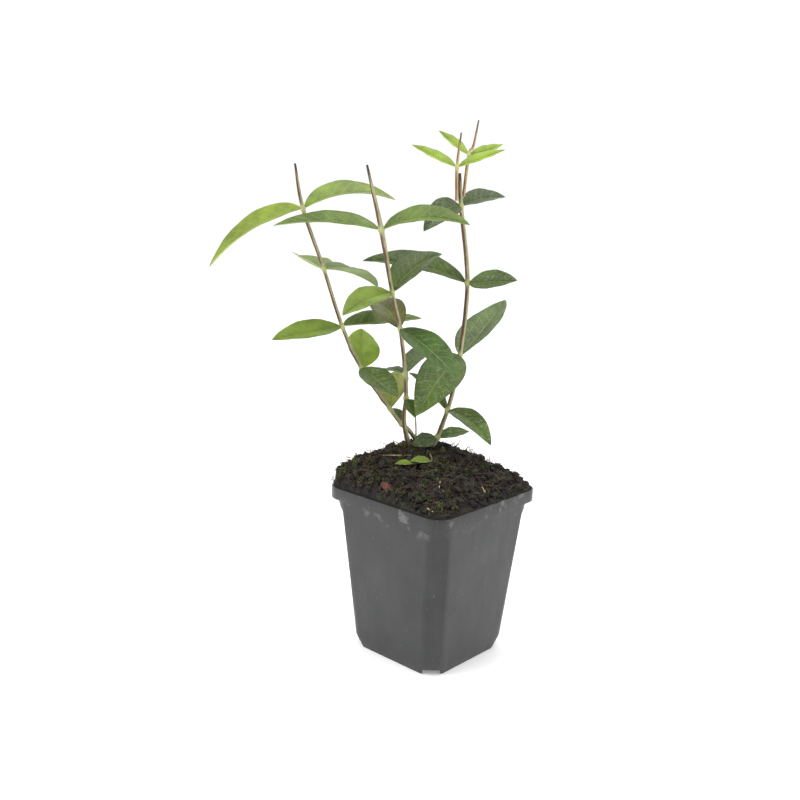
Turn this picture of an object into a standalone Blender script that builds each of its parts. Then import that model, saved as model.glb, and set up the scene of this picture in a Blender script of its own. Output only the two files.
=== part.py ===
"""A young St John's wort in its square nursery pot, with every stem and pair of leaves a piece of its own.

Lengths are in metres, angles in degrees and +Z is up. The sides of the pot lie along X and Y, its front
corner is at +X -Y, and the origin is the middle of its flat underside.
"""
import math
from collections import namedtuple

import bmesh
import bpy
from mathutils import Matrix, Vector

MM = 0.001
CLEARANCE = 0.3 * MM  # the gap between pieces that touch on the real plant

# The pot
POT_HEIGHT = 100 * MM
POT_BASE_HALF = 31.8 * MM  # half the width of the underside
POT_FOOT_HALF = 34.3 * MM  # half the width where the wall starts, above the drawn-in foot
POT_NECK_HALF = 42.2 * MM  # half the width of the wall just under the rim
FOOT_HEIGHT = 8 * MM
RIM_HALF = 45 * MM
RIM_DEPTH = 7.2 * MM
POT_WALL = 1 * MM
POT_FLOOR = 1.5 * MM
CORNER_CUT = 9 * MM  # each lower corner is cut off flat, this much of either side at the top
BASE_CUT = 7.6 * MM
CORNER_ROUND = 11 * MM  # the rim and the neck are rounded instead
CUT_TOP = 88 * MM  # height where the flat corner ends
DRAIN_HEIGHT = 3.3 * MM  # a slot under each corner stands this high
DRAIN_WIDTH = 10.5 * MM
DRAIN_DEPTH = 8 * MM  # and runs this far in under the floor
CORNER_STEPS = 6

# The soil
CROWN = Vector((-19 * MM, 9 * MM, 118.5 * MM))  # the top of the mound, where the stems come out
HEAP_EDGE = 7.5 * MM  # how far the soil stands over the rim where x is 0
HEAP_TILT = -0.15  # it is heaped up towards -X
MOUND_POWER = 1.6
BRIM_POWER = 10  # how sharply the heap falls off to the rim
MOUND_RINGS = (0.985, 0.95, 0.89, 0.8, 0.67, 0.52, 0.37, 0.22, 0.08)

# The stems: x, y, z and radius of each joint in millimetres, from the foot up, with the number of the
# pair of leaves that stands there, counted from the top, or 0 where none does
Joint = namedtuple("Joint", "x y z radius pair")
STEMS = {
    "stem_left": (
        Joint(-21.5, 11.5, 115, 1.7, 0),
        Joint(-23.5, 9.5, 122, 1.4, 0),
        Joint(-27, 6, 128.5, 1.3, 0),
        Joint(-29.5, 3.5, 131, 1.2, 6),
        Joint(-33.5, -2.5, 140.5, 1.2, 5),
        Joint(-44.5, -16.5, 165.5, 1.1, 4),
        Joint(-52, -25.5, 190.5, 1.1, 3),
        Joint(-59, -34, 223.5, 1.0, 2),
        Joint(-66, -44, 257.5, 1.1, 1),
        Joint(-69, -47.5, 282, 0.7, 0),
    ),
    "stem_middle": (
        Joint(-23.5, 6, 114, 1.8, 0),
        Joint(-24, 0.5, 130.5, 1.4, 0),
        Joint(-22.5, -2, 140.5, 1.3, 0),
        Joint(-20.5, -3, 149.5, 1.3, 5),
        Joint(-18.5, -6.5, 165, 1.2, 4),
        Joint(-18, -12.5, 192, 1.1, 3),
        Joint(-18.5, -19.5, 213.5, 1.1, 2),
        Joint(-19, -29, 248.5, 1.4, 1),
        Joint(-21.5, -38.5, 282.5, 0.7, 0),
    ),
    "stem_right": (
        Joint(-15.5, 13.5, 115, 1.9, 0),
        Joint(-12, 16.5, 124, 1.5, 6),
        Joint(-9, 21.5, 140.5, 1.3, 5),
        Joint(-7, 24.5, 155.5, 1.3, 0),
        Joint(-6, 27.5, 173.5, 1.3, 4),
        Joint(-6, 31.5, 216.5, 1.3, 3),
        Joint(-12, 30, 260.5, 1.3, 2),
        Joint(-14, 30, 279, 1.1, 0),
    ),
    "shoot_front": (
        Joint(-13, 27, 263.5, 0.9, 0),
        Joint(-12, 25, 282.5, 0.9, 1),
        Joint(-9.5, 24.5, 301.5, 0.5, 0),
    ),
    "shoot_back": (
        Joint(-12.8, 32.8, 265.5, 1.0, 0),
        Joint(-13.5, 37, 289.5, 0.9, 1),
        Joint(-12, 39, 294.5, 0.8, 0),
        Joint(-10.5, 41, 309, 0.5, 0),
    ),
    "twig_dry": (
        Joint(-19.8, 6, 115, 0.5, 0),
        Joint(-19.6, 5.8, 127, 0.5, 0),
        Joint(-20, 5, 141, 0.4, 0),
    ),
}
GROUND = CROWN.z + 0.4 * MM  # the level of the flat cut under each stem
STEM_STEP = 5 * MM  # distance between the rings of a stem
NODE_SWELL = 0.18  # a stem is this much thicker at a pair of leaves
NODE_LENGTH = 1.6 * MM

# The leaves. Each starts at its joint: length and width in millimetres, the compass heading from +X,
# the rise above the level at its root, how far it bends down by its tip, and how far its left side is
# turned up
Leaf = namedtuple("Leaf", "length width heading rise droop roll")
LEAVES = {
    "leaves_left_1": (Leaf(68, 23, 206, -14, 36, -32), Leaf(56, 24, 65, 30, 50, 15)),
    "leaves_left_2": (Leaf(40, 24, 160, 3, -5, 10), Leaf(42, 21, 85, -3, 30, 5)),
    "leaves_left_3": (Leaf(45, 18, 260, -5, 0, -25), Leaf(57, 21, 80, 0, 0, 15)),
    "leaves_left_4": (Leaf(33, 22, 135, 28, -10, 20), Leaf(40, 18, 345, -15, -5, 15)),
    "leaves_left_5": (Leaf(40, 21, 125, 30, 15, -15),),
    "leaves_left_6": (Leaf(16, 8, 150, 30, 20, -5),),
    "leaves_middle_1": (Leaf(60, 18, 210, 12, 25, -20), Leaf(47, 20, 35, 27, 45, 25)),
    "leaves_middle_2": (Leaf(41, 18, 275, -2, 20, -20), Leaf(39, 24, 80, 50, 40, 10)),
    "leaves_middle_3": (Leaf(53, 20, 350, -13, 15, 15), Leaf(42, 20, 155, 30, 35, -15)),
    "leaves_middle_4": (Leaf(18, 10, 180, 10, 30, 0), Leaf(40, 17, 105, 25, 10, -10)),
    "leaves_middle_5": (Leaf(14, 9, 335, -22, 20, 5),),
    "leaves_right_2": (Leaf(41, 15, 280, 2, 40, -40), Leaf(31, 17, 76, 20, 22, 22)),
    "leaves_right_3": (Leaf(61, 22, 220, 25, 30, -25), Leaf(31, 16, 7, 5, -5, 42)),
    "leaves_right_4": (Leaf(59, 26, 285, -15, 20, -25), Leaf(60, 28, 100, 22, -10, -10)),
    "leaves_right_5": (Leaf(40, 15, 350, 5, 45, 15), Leaf(32, 15, 190, 45, 20, 0)),
    "leaves_right_6": (Leaf(16, 12, 257, -20, -20, -32), Leaf(19, 11, 65, 12, 10, 20)),
    "leaves_front_1": (Leaf(28, 10, 205, 21, -5, -25), Leaf(29, 9, 60, 20, 0, 25)),
    "leaves_back_1": (Leaf(22, 9, 195, 32, -5, -20), Leaf(21, 9, 65, 10, -15, 25)),
}
LEAF_STEM = {"left": "stem_left", "middle": "stem_middle", "right": "stem_right"}
LEAF_STEM.update({"front": "shoot_front", "back": "shoot_back"})
LEAF_FOLD = 20  # each half of a blade rises this steeply from the midrib
LEAF_THICKNESS = 0.7 * MM
LEAF_SINK = 0.4 * MM  # a blade's root lies this far inside its collar
LEAF_STEPS = 11
LEAF_SPREAD = (-1, -0.5, 0, 0.5, 1)  # the lines along a blade, from its right edge to its left
LEAF_TIP = 0.3 * MM
LEAF_ROOT = 0.5 * MM
COLLAR_GAP = 0.5 * MM  # between the collar and its stem
COLLAR_WALL = 0.8 * MM
COLLAR_HEIGHT = 1.6 * MM

# The small sprig that lies on the soil in front of the stems
SPRIG = (Joint(-2, -1, 119.2, 0.5, 0), Joint(5, -8.5, 117.8, 0.5, 1), Joint(-1, -17.5, 116.8, 0.4, 2))
SPRIG_LEAVES = (Leaf(12, 8, 235, 3, 0, -15), Leaf(10, 6, 220, 0, 5, -15))

GREENS = {"top": (0.21, 0.36, 0.06), "middle": (0.11, 0.24, 0.05), "low": (0.07, 0.14, 0.05)}


def clear_scene():
    """Removes what a new file starts with."""
    for thing in list(bpy.data.objects):
        bpy.data.objects.remove(thing, do_unlink=True)


def make_material(name, color, roughness, metallic=0.0):
    """A plain finish in the colour of the piece."""
    material = bpy.data.materials.new(name)
    material.use_nodes = True
    shader = material.node_tree.nodes["Principled BSDF"]
    shader.inputs["Base Color"].default_value = (*color, 1)
    shader.inputs["Roughness"].default_value = roughness
    shader.inputs["Metallic"].default_value = metallic
    material.diffuse_color = (*color, 1)
    return material


def add_object(name, mesh, material=None):
    """Puts a mesh in the scene under a node's name."""
    thing = bpy.data.objects.new(name, mesh)
    bpy.context.scene.collection.objects.link(thing)
    if material:
        mesh.materials.clear()
        mesh.materials.append(material)
    return thing


def mesh_from(bm, name):
    """Turns a bmesh into a mesh whose faces all point out."""
    bmesh.ops.recalc_face_normals(bm, faces=bm.faces)
    mesh = bpy.data.meshes.new(name)
    bm.to_mesh(mesh)
    bm.free()
    return mesh


def evaluated_mesh(thing):
    """The mesh of an object with its modifiers applied."""
    depsgraph = bpy.context.evaluated_depsgraph_get()
    return bpy.data.meshes.new_from_object(thing.evaluated_get(depsgraph), depsgraph=depsgraph)


def corner_ring(half, corner, roundness, height):
    """One level outline of the pot: a square whose corners are cut flat (0) or rounded (1)."""
    points = []
    for quarter in range(4):
        turn = Matrix.Rotation(quarter * math.pi / 2, 3, "Z")
        for step in range(CORNER_STEPS + 1):
            share = step / CORNER_STEPS
            flat = Vector((half - corner * share, half - corner * (1 - share), 0))
            angle = share * math.pi / 2
            inner = half - corner
            arc = Vector((inner + corner * math.cos(angle), inner + corner * math.sin(angle), 0))
            point = turn @ flat.lerp(arc, roundness)
            points.append(Vector((point.x, point.y, height)))
    return points


def stack_rings(bm, rings):
    """Joins outlines of equally many points into one closed skin with flat ends."""
    loops = [[bm.verts.new(point) for point in ring] for ring in rings]
    for lower, upper in zip(loops, loops[1:]):
        for i in range(len(lower)):
            j = (i + 1) % len(lower)
            bm.faces.new((lower[i], lower[j], upper[j], upper[i]))
    bm.faces.new(reversed(loops[0]))
    bm.faces.new(loops[-1])


def wall_half(height):
    """Half the outer width of the wall at a height: tapered, and drawn in at the foot."""
    if height < FOOT_HEIGHT:
        return POT_BASE_HALF + (POT_FOOT_HALF - POT_BASE_HALF) * height / FOOT_HEIGHT
    rise = (height - FOOT_HEIGHT) / (POT_HEIGHT - RIM_DEPTH - FOOT_HEIGHT)
    return POT_FOOT_HALF + (POT_NECK_HALF - POT_FOOT_HALF) * rise


def corner_cut(height):
    """How much of each side the flat corner takes at a height."""
    return BASE_CUT + (CORNER_CUT - BASE_CUT) * height / CUT_TOP


def make_loft(name, rings):
    """A solid through a stack of outlines."""
    bm = bmesh.new()
    stack_rings(bm, rings)
    return add_object(name, mesh_from(bm, name))


def make_cutter(thing):
    """Marks a solid that only cuts another."""
    thing.hide_render = True
    thing.display_type = "WIRE"
    return thing


def drain_blocks(name, margin):
    """The four drain slots as blocks in one cutter, grown by a margin on every side."""
    corner_reach = (2 * POT_BASE_HALF - BASE_CUT) / math.sqrt(2)
    inner = corner_reach - DRAIN_DEPTH - margin
    outer = corner_reach + DRAIN_DEPTH
    bm = bmesh.new()
    for quarter in range(4):
        block = bmesh.ops.create_cube(bm, size=1)["verts"]
        size = Vector((outer - inner, DRAIN_WIDTH + 2 * margin, 2 * (DRAIN_HEIGHT + margin)))
        bmesh.ops.scale(bm, verts=block, vec=size)
        bmesh.ops.translate(bm, verts=block, vec=Vector(((outer + inner) / 2, 0, 0)))
        turn = Matrix.Rotation(math.radians(45 + 90 * quarter), 3, "Z")
        bmesh.ops.rotate(bm, verts=block, matrix=turn)
    return make_cutter(add_object(name, mesh_from(bm, name)))


def cut_away(thing, cutter):
    """Takes a cutter's shape out of a piece."""
    cut = thing.modifiers.new(cutter.name, "BOOLEAN")
    cut.object = cutter
    cut.operation = "DIFFERENCE"


def make_pot():
    """The thin-walled pot: tapered, with flat lower corners, a stepped rim and four drain slots."""
    neck = POT_HEIGHT - RIM_DEPTH
    shoulder = CUT_TOP + 2 * MM
    step = 0.4 * MM
    outside = [
        corner_ring(wall_half(0), corner_cut(0), 0, 0),
        corner_ring(wall_half(FOOT_HEIGHT), corner_cut(FOOT_HEIGHT), 0, FOOT_HEIGHT),
        corner_ring(wall_half(CUT_TOP), CORNER_CUT, 0, CUT_TOP),
        corner_ring(wall_half(shoulder), CORNER_ROUND, 1, shoulder),
        corner_ring(POT_NECK_HALF, CORNER_ROUND, 1, neck),
        corner_ring(RIM_HALF, CORNER_ROUND, 1, neck + step),
        corner_ring(RIM_HALF, CORNER_ROUND, 1, POT_HEIGHT),
    ]
    inner_round = CORNER_ROUND - POT_WALL
    inner_rim = RIM_HALF - POT_WALL
    inside = [
        corner_ring(wall_half(POT_FLOOR) - POT_WALL, corner_cut(0), 0, POT_FLOOR),
        corner_ring(wall_half(FOOT_HEIGHT) - POT_WALL, corner_cut(FOOT_HEIGHT), 0, FOOT_HEIGHT),
        corner_ring(wall_half(CUT_TOP) - POT_WALL, CORNER_CUT, 0, CUT_TOP),
        corner_ring(POT_NECK_HALF - POT_WALL, inner_round, 1, neck + POT_WALL),
        corner_ring(inner_rim, inner_round, 1, neck + POT_WALL + step),
        corner_ring(inner_rim, inner_round, 1, POT_HEIGHT + POT_WALL),
    ]
    pot = make_loft("pot", outside)
    pot.data.materials.append(make_material("pot", (0.09, 0.09, 0.095), 0.5))
    cavity = make_cutter(make_loft("cavity", inside))
    cut_away(cavity, drain_blocks("drain_walls", POT_WALL))
    cut_away(pot, drain_blocks("drain_slots", 0))
    cut_away(pot, cavity)
    return pot


def soil_height(x, y):
    """Height of the mound over a point inside the rim, falling from the crown to its heaped edge."""
    half = RIM_HALF - POT_WALL - CLEARANCE
    toward = Vector((x - CROWN.x, y - CROWN.y))
    shares = [0.0]
    for place, middle in ((toward.x, CROWN.x), (toward.y, CROWN.y)):
        if place:
            shares.append(place / (math.copysign(half, place) - middle))
    share = min(max(shares), 1)
    heap = HEAP_EDGE + HEAP_TILT * x
    edge = POT_HEIGHT + heap * (1 - share**BRIM_POWER)
    return edge + (CROWN.z - POT_HEIGHT - heap) * (1 - share**MOUND_POWER)


def make_soil():
    """The peat that fills the pot and stands over its rim in a mound."""
    neck = POT_HEIGHT - RIM_DEPTH
    gap = POT_WALL + CLEARANCE
    deep_gap = POT_WALL + 3 * CLEARANCE
    drain_corner = BASE_CUT + 1.6 * (DRAIN_DEPTH + POT_WALL)
    drain_top = DRAIN_HEIGHT + POT_WALL + CLEARANCE
    shelf = neck + POT_WALL + 2 * CLEARANCE
    rings = [
        corner_ring(wall_half(POT_FLOOR) - deep_gap, drain_corner, 0, POT_FLOOR + CLEARANCE),
        corner_ring(wall_half(drain_top) - deep_gap, drain_corner, 0, drain_top),
        corner_ring(wall_half(FOOT_HEIGHT) - deep_gap, corner_cut(FOOT_HEIGHT), 0, FOOT_HEIGHT),
        corner_ring(wall_half(CUT_TOP) - deep_gap, CORNER_CUT, 0, CUT_TOP),
        corner_ring(POT_NECK_HALF - deep_gap, CORNER_ROUND - gap, 1, shelf),
        corner_ring(RIM_HALF - gap, CORNER_ROUND - gap, 1, shelf + 2 * CLEARANCE),
        corner_ring(RIM_HALF - gap, CORNER_ROUND - gap, 1, POT_HEIGHT - 1.5 * MM),
    ]
    brim = rings[-1]
    for share in MOUND_RINGS:
        ring = [CROWN.lerp(point, share) for point in brim]
        rings.append([Vector((p.x, p.y, soil_height(p.x, p.y))) for p in ring])
    soil = make_loft("soil", rings)
    soil.data.materials.append(make_material("soil", (0.03, 0.024, 0.017), 0.95))
    return soil


def smooth_route(joints):
    """Places and radii along a smooth curve through the joints, a few millimetres apart."""
    places = [Vector((j.x, j.y, j.z)) * MM for j in joints]
    ends = [places[0] * 2 - places[1]] + places + [places[-1] * 2 - places[-2]]
    route = []
    for i in range(len(places) - 1):
        before, start, end, after = ends[i : i + 4]
        steps = max(2, round((end - start).length / STEM_STEP))
        for step in range(steps + (i == len(places) - 2)):
            t = step / steps
            push = (end - before) * (t - 2 * t**2 + t**3) + (after - start) * (t**3 - t**2)
            place = start * (1 - 3 * t**2 + 2 * t**3) + end * (3 * t**2 - 2 * t**3) + push / 2
            radius = (joints[i].radius * (1 - t) + joints[i + 1].radius * t) * MM
            route.append((place, radius))
    return route


def stem_direction(joints, index):
    """The way a stem grows through one of its joints."""
    before = joints[max(index - 1, 0)]
    after = joints[min(index + 1, len(joints) - 1)]
    return Vector((after.x - before.x, after.y - before.y, after.z - before.z)).normalized()


def places_below_ground(route):
    """Whether a stem starts in the soil, where a level cut ends it."""
    return route[0][0].z < GROUND - 2 * MM


def make_stem(name, joints, material):
    """One tapering stem with flat ends, a little thicker where leaves stand."""
    route = smooth_route(joints)
    nodes = [Vector((j.x, j.y, j.z)) * MM for j in joints if j.pair]
    curve = bpy.data.curves.new(name, "CURVE")
    curve.dimensions = "3D"
    curve.bevel_depth = 1
    curve.bevel_resolution = 2
    curve.use_fill_caps = True
    spline = curve.splines.new("POLY")
    spline.points.add(len(route) - 1)
    for point, (place, radius) in zip(spline.points, route):
        nearest = min(((place - node).length for node in nodes), default=1)
        point.co = (*place, 1)
        point.radius = radius * (1 + NODE_SWELL * math.exp(-((nearest / NODE_LENGTH) ** 2)))
    maker = bpy.data.objects.new(name, curve)
    bpy.context.scene.collection.objects.link(maker)
    mesh = evaluated_mesh(maker)
    bpy.data.objects.remove(maker, do_unlink=True)
    bm = bmesh.new()
    bm.from_mesh(mesh)
    bmesh.ops.remove_doubles(bm, verts=bm.verts, dist=0.01 * MM)
    if places_below_ground(route):
        everything = bm.verts[:] + bm.edges[:] + bm.faces[:]
        level = Vector((0, 0, GROUND))
        bmesh.ops.bisect_plane(bm, geom=everything, plane_co=level, plane_no=(0, 0, 1), clear_inner=True)
        bmesh.ops.holes_fill(bm, edges=bm.edges, sides=0)
    return add_object(name, mesh_from(bm, name), material)


def blade_width(share):
    """Half the width of a leaf along its length, as a share of its widest."""
    return math.sin(math.pi * min(share, 1) ** 0.85) ** 0.8


def make_blade(leaf, root):
    """One leaf as a thin solid: a grid bent along its midrib, folded along it and given thickness."""
    bm = bmesh.new()
    bmesh.ops.create_grid(bm, x_segments=LEAF_STEPS, y_segments=len(LEAF_SPREAD) - 1, size=1)
    columns = sorted({round(v.co.x, 4) for v in bm.verts})
    rows = sorted({round(v.co.y, 4) for v in bm.verts})
    heading = math.radians(leaf.heading)
    left = Vector((-math.sin(heading), math.cos(heading), 0))
    forward = Vector((math.cos(heading), math.sin(heading), 0))
    step = leaf.length * MM / (len(columns) - 1)
    midrib = [root.copy()]
    for i in range(1, len(columns)):
        slope = math.radians(leaf.rise - leaf.droop * (i - 0.5) / (len(columns) - 1))
        midrib.append(midrib[-1] + (forward * math.cos(slope) + Vector((0, 0, math.sin(slope)))) * step)
    for vert in bm.verts:
        i = columns.index(round(vert.co.x, 4))
        across = LEAF_SPREAD[rows.index(round(vert.co.y, 4))]
        share = i / (len(columns) - 1)
        slope = math.radians(leaf.rise - leaf.droop * share)
        along = forward * math.cos(slope) + Vector((0, 0, math.sin(slope)))
        turn = Matrix.Rotation(math.radians(leaf.roll), 3, along)
        side = turn @ left
        up = along.cross(side)
        narrow = LEAF_ROOT * (1 - share) + LEAF_TIP * share
        half = max(leaf.width * MM / 2 * blade_width(share), narrow)
        fold = math.radians(LEAF_FOLD)
        vert.co = midrib[i] + side * across * half * math.cos(fold) + up * abs(across) * half * math.sin(fold)
    blade = add_object("blade", mesh_from(bm, "blade"))
    thick = blade.modifiers.new("thickness", "SOLIDIFY")
    thick.thickness = LEAF_THICKNESS
    thick.offset = 0
    mesh = evaluated_mesh(blade)
    bpy.data.objects.remove(blade, do_unlink=True)
    return add_object("blade", mesh)


def collar_inside(joint):
    """Radius of the hole in a collar, which clears the thickened stem."""
    return joint.radius * MM * (1 + NODE_SWELL) + COLLAR_GAP


def make_collar(joint, direction):
    """The ring that clasps the stem where a pair of leaves joins, clear of the stem itself."""
    inner = collar_inside(joint)
    outer = inner + COLLAR_WALL
    bm = bmesh.new()
    profile = []
    for reach, level in ((inner, -0.5), (outer, -0.3), (outer, 0.3), (inner, 0.5)):
        profile.append(bm.verts.new((reach, 0, level * COLLAR_HEIGHT)))
    edges = [bm.edges.new((profile[i], profile[(i + 1) % 4])) for i in range(4)]
    bmesh.ops.spin(
        bm, geom=profile + edges, axis=(0, 0, 1), angle=2 * math.pi, steps=12, use_merge=True
    )
    bmesh.ops.rotate(bm, verts=bm.verts, matrix=Vector((0, 0, 1)).rotation_difference(direction).to_matrix())
    bmesh.ops.translate(bm, verts=bm.verts, vec=Vector((joint.x, joint.y, joint.z)) * MM)
    return add_object("collar", mesh_from(bm, "collar"))


def fuse(name, body, others, material):
    """Joins solids into one by a Boolean union, and removes what went into it."""
    group = bpy.data.collections.new(f"{name}_parts")
    bpy.context.scene.collection.children.link(group)
    for thing in others:
        bpy.context.scene.collection.objects.unlink(thing)
        group.objects.link(thing)
    union = body.modifiers.new("union", "BOOLEAN")
    union.operation = "UNION"
    union.operand_type = "COLLECTION"
    union.collection = group
    mesh = evaluated_mesh(body)
    for thing in [body, *others]:
        bpy.data.objects.remove(thing, do_unlink=True)
    bpy.data.collections.remove(group)
    return add_object(name, mesh, material)


def make_leaves(name, leaves, joints, index, material):
    """A pair of leaves and the collar that they grow from, as one piece."""
    joint = joints[index]
    direction = stem_direction(joints, index)
    middle = Vector((joint.x, joint.y, joint.z)) * MM
    blades = []
    for leaf in leaves:
        heading = math.radians(leaf.heading)
        outward = Vector((math.cos(heading), math.sin(heading), 0))
        outward = (outward - direction * outward.dot(direction)).normalized()
        root = middle + outward * (collar_inside(joint) + LEAF_SINK)
        blades.append(make_blade(leaf, root))
    return fuse(name, make_collar(joint, direction), blades, material)


def make_sprig(stem_material, leaf_material):
    """The little sprig on the soil: a thread of stem with two leaves fused on."""
    stalk = make_stem("sprig_low", SPRIG, stem_material)
    blades = []
    for joint, leaf in zip(SPRIG[1:], SPRIG_LEAVES):
        blades.append(make_blade(leaf, Vector((joint.x, joint.y, joint.z)) * MM))
    return fuse("sprig_low", stalk, blades, leaf_material)


def main():
    clear_scene()
    make_pot()
    make_soil()
    wood = make_material("stem", (0.16, 0.11, 0.05), 0.6)
    dry = make_material("dry", (0.35, 0.31, 0.26), 0.8)
    greens = {name: make_material(f"leaf_{name}", color, 0.5) for name, color in GREENS.items()}
    for name, joints in STEMS.items():
        make_stem(name, joints, dry if name == "twig_dry" else wood)
    for name, leaves in LEAVES.items():
        _, stem, pair = name.split("_")
        joints = STEMS[LEAF_STEM[stem]]
        index = [joint.pair for joint in joints].index(int(pair))
        age = "top" if pair == "1" else "middle" if pair in "23" else "low"
        make_leaves(name, leaves, joints, index, greens[age])
    make_sprig(wood, greens["middle"])


main()
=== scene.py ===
"""The young St John's wort in its pot, dressed for the camera as a small add-on.

Each stem, each pair of leaves, the soil and the pot is a piece of its own, built from named sizes.
Lengths are in metres unless a name ends in _MM or a comment says so, angles in degrees, and +Z is up.
"""
import math
import random
from collections import namedtuple

import bmesh
import bpy
from mathutils import Matrix, Vector, noise


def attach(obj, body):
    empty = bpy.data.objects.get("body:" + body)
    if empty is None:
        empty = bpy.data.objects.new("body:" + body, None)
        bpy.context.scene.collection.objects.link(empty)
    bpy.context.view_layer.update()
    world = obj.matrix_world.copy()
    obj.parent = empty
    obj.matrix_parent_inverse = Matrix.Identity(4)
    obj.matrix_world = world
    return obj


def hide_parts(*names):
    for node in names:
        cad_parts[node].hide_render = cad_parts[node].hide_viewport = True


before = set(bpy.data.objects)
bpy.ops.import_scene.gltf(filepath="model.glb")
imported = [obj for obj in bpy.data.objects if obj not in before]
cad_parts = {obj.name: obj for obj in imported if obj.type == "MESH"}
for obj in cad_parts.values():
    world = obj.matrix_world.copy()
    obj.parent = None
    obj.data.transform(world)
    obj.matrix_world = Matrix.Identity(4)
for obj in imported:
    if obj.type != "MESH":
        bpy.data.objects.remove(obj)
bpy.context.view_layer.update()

bl_info = {
    "name": "Potted shrub",
    "version": (1, 0, 0),
    "blender": (4, 5, 0),
    "location": "3D View > Sidebar > Shrub",
    "description": "Builds a young shrub with paired leaves in a square pot",
    "category": "Object",
}

MM = 0.001
BODY = "root"

# The pot, as in the solid model
POT_HEIGHT = 100 * MM
POT_BASE_HALF = 31.8 * MM
POT_FOOT_HALF = 34.3 * MM
POT_NECK_HALF = 42.2 * MM
FOOT_HEIGHT = 8 * MM
RIM_HALF = 45 * MM
RIM_DEPTH = 7.2 * MM
NECK = POT_HEIGHT - RIM_DEPTH
POT_WALL = 1 * MM
POT_FLOOR = 1.5 * MM
CORNER_CUT = 9 * MM
BASE_CUT = 7.6 * MM
CORNER_ROUND = 11 * MM
CUT_TOP = 88 * MM
DRAIN_HEIGHT = 3.3 * MM
DRAIN_WIDTH = 10.5 * MM
DRAIN_DEPTH = 8 * MM

# How the pot is finished
RIM_STEP = 0.4 * MM  # height of the shoulder under the rim
ARCH_SPRING = 83 * MM  # height where the sides of a corner flat start to close in an arch
ARCH_ANGLES = range(12, 90, 12)
CUTTER_BELOW = 2 * MM
CUTTER_DEPTH = 14 * MM
EDGE_SEGMENTS = 3
EDGE_FROM = 24
POT_SHARP = 40
DUST_FROM, DUST_FULL = 78 * MM, 97 * MM
DULL_PLASTIC = (0.12, 0.12, 0.125)
DUSTY_PLASTIC = (0.22, 0.22, 0.22)
SCRATCHED_PLASTIC = (0.25, 0.25, 0.25)

# The soil
CLEARANCE = 0.3 * MM
DEEP_GAP = POT_WALL + 3 * CLEARANCE
BRIM_GAP = POT_WALL + CLEARANCE
CROWN = Vector((-19 * MM, 9 * MM, 118.5 * MM))
HEAP_EDGE = 7.5 * MM
HEAP_TILT = -0.15
MOUND_POWER = 1.6
BRIM_POWER = 10
BRIM_DROP = 1.5 * MM  # from the top of the rim to where the mound starts
EDGE_DROP = 1 * MM  # the lowest that the soil's edge lies under the rim
DRAIN_ROOM = 1.6  # how much further the soil's corners are cut at the drains than the drains are deep
MOUND_CORNER_STEPS = 6
MOUND_POINTS = 260
MOUND_ROWS = 64
MOUND_EDGE_ROWS = 3
PEAT_DARK, PEAT_FILM = (0.004, 0.0035, 0.003), (0.035, 0.045, 0.012)
CRUMB_DARK, CRUMB_FILM = (0.005, 0.004, 0.0035), (0.045, 0.058, 0.014)
FILM_STRENGTH = 0.6

# What lies on the soil
LOOSE_LIMIT = RIM_HALF - 2 * MM  # the furthest that fibres and moss reach along x and y
LOOSE_LIFT = 0.3 * MM  # how far they stand off the soil
COARSE_SHARE = 6  # one crumb in so many is a coarse one
COARSE_CRUMB_MM = (1.3, 2.8)
FINE_CRUMB_MM = (0.45, 1.3)
FIBRE_PIECES = 5
Fibres = namedtuple("Fibres", "name material divisor lengths_mm radii_mm lifts roughness color")
FIBRES = (
    Fibres("fibres_dark", "fibre_dark", 1, (4, 11), (0.12, 0.26), (-0.1, 1.1), 0.8, (0.02, 0.012, 0.008)),
    Fibres("fibres_brown", "fibre_brown", 2, (4, 13), (0.14, 0.32), (-0.1, 0.4), 0.75, (0.11, 0.055, 0.028)),
)
MOSS_DARK = (0.035, 0.045, 0.01)
MOSS_SPOTS_MM = ((-12.5, -33.6, 3.4), (-17, -31, 2.6), (-38.5, -42, 3), (-36, -41, 2.6), (-34, -39, 2.2))
MOSS_SPREAD_MM = (1, 2.4)
MOSS_BLADE_MM = (1.1, 2.6)
MOSS_DENSITY = 16  # blades for each millimetre of a tuft's spread
STRAW_DARK, STRAW_LIGHT = (0.42, 0.3, 0.13), (0.6, 0.47, 0.26)
CHIP_DARK, CHIP_LIGHT = (0.05, 0.014, 0.009), (0.2, 0.06, 0.035)
# Name, both ends as x, y and height over the soil, and radius, in millimetres
RODS = (
    ("straw_front", (30.6, -40, 0.8), (36, -41.5, 1.2), 0.45),
    ("straw_right", (32.8, 4.5, 0.8), (38.5, 1.2, 1.5), 0.45),
    ("stick_back", (-25.7, -17.7, 0.8), (-11, -6.8, 1), 0.5),
    ("shoot_dead", (19.9, -16.5, 0.5), (25, -24, 1), 0.55),
)
CHIP_PLACE_MM = (0, -39, 1.2)
CHIP_SIZE = 2.6 * MM
CHIP_SQUASH = Vector((1.25, 0.8, 0.35))

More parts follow.
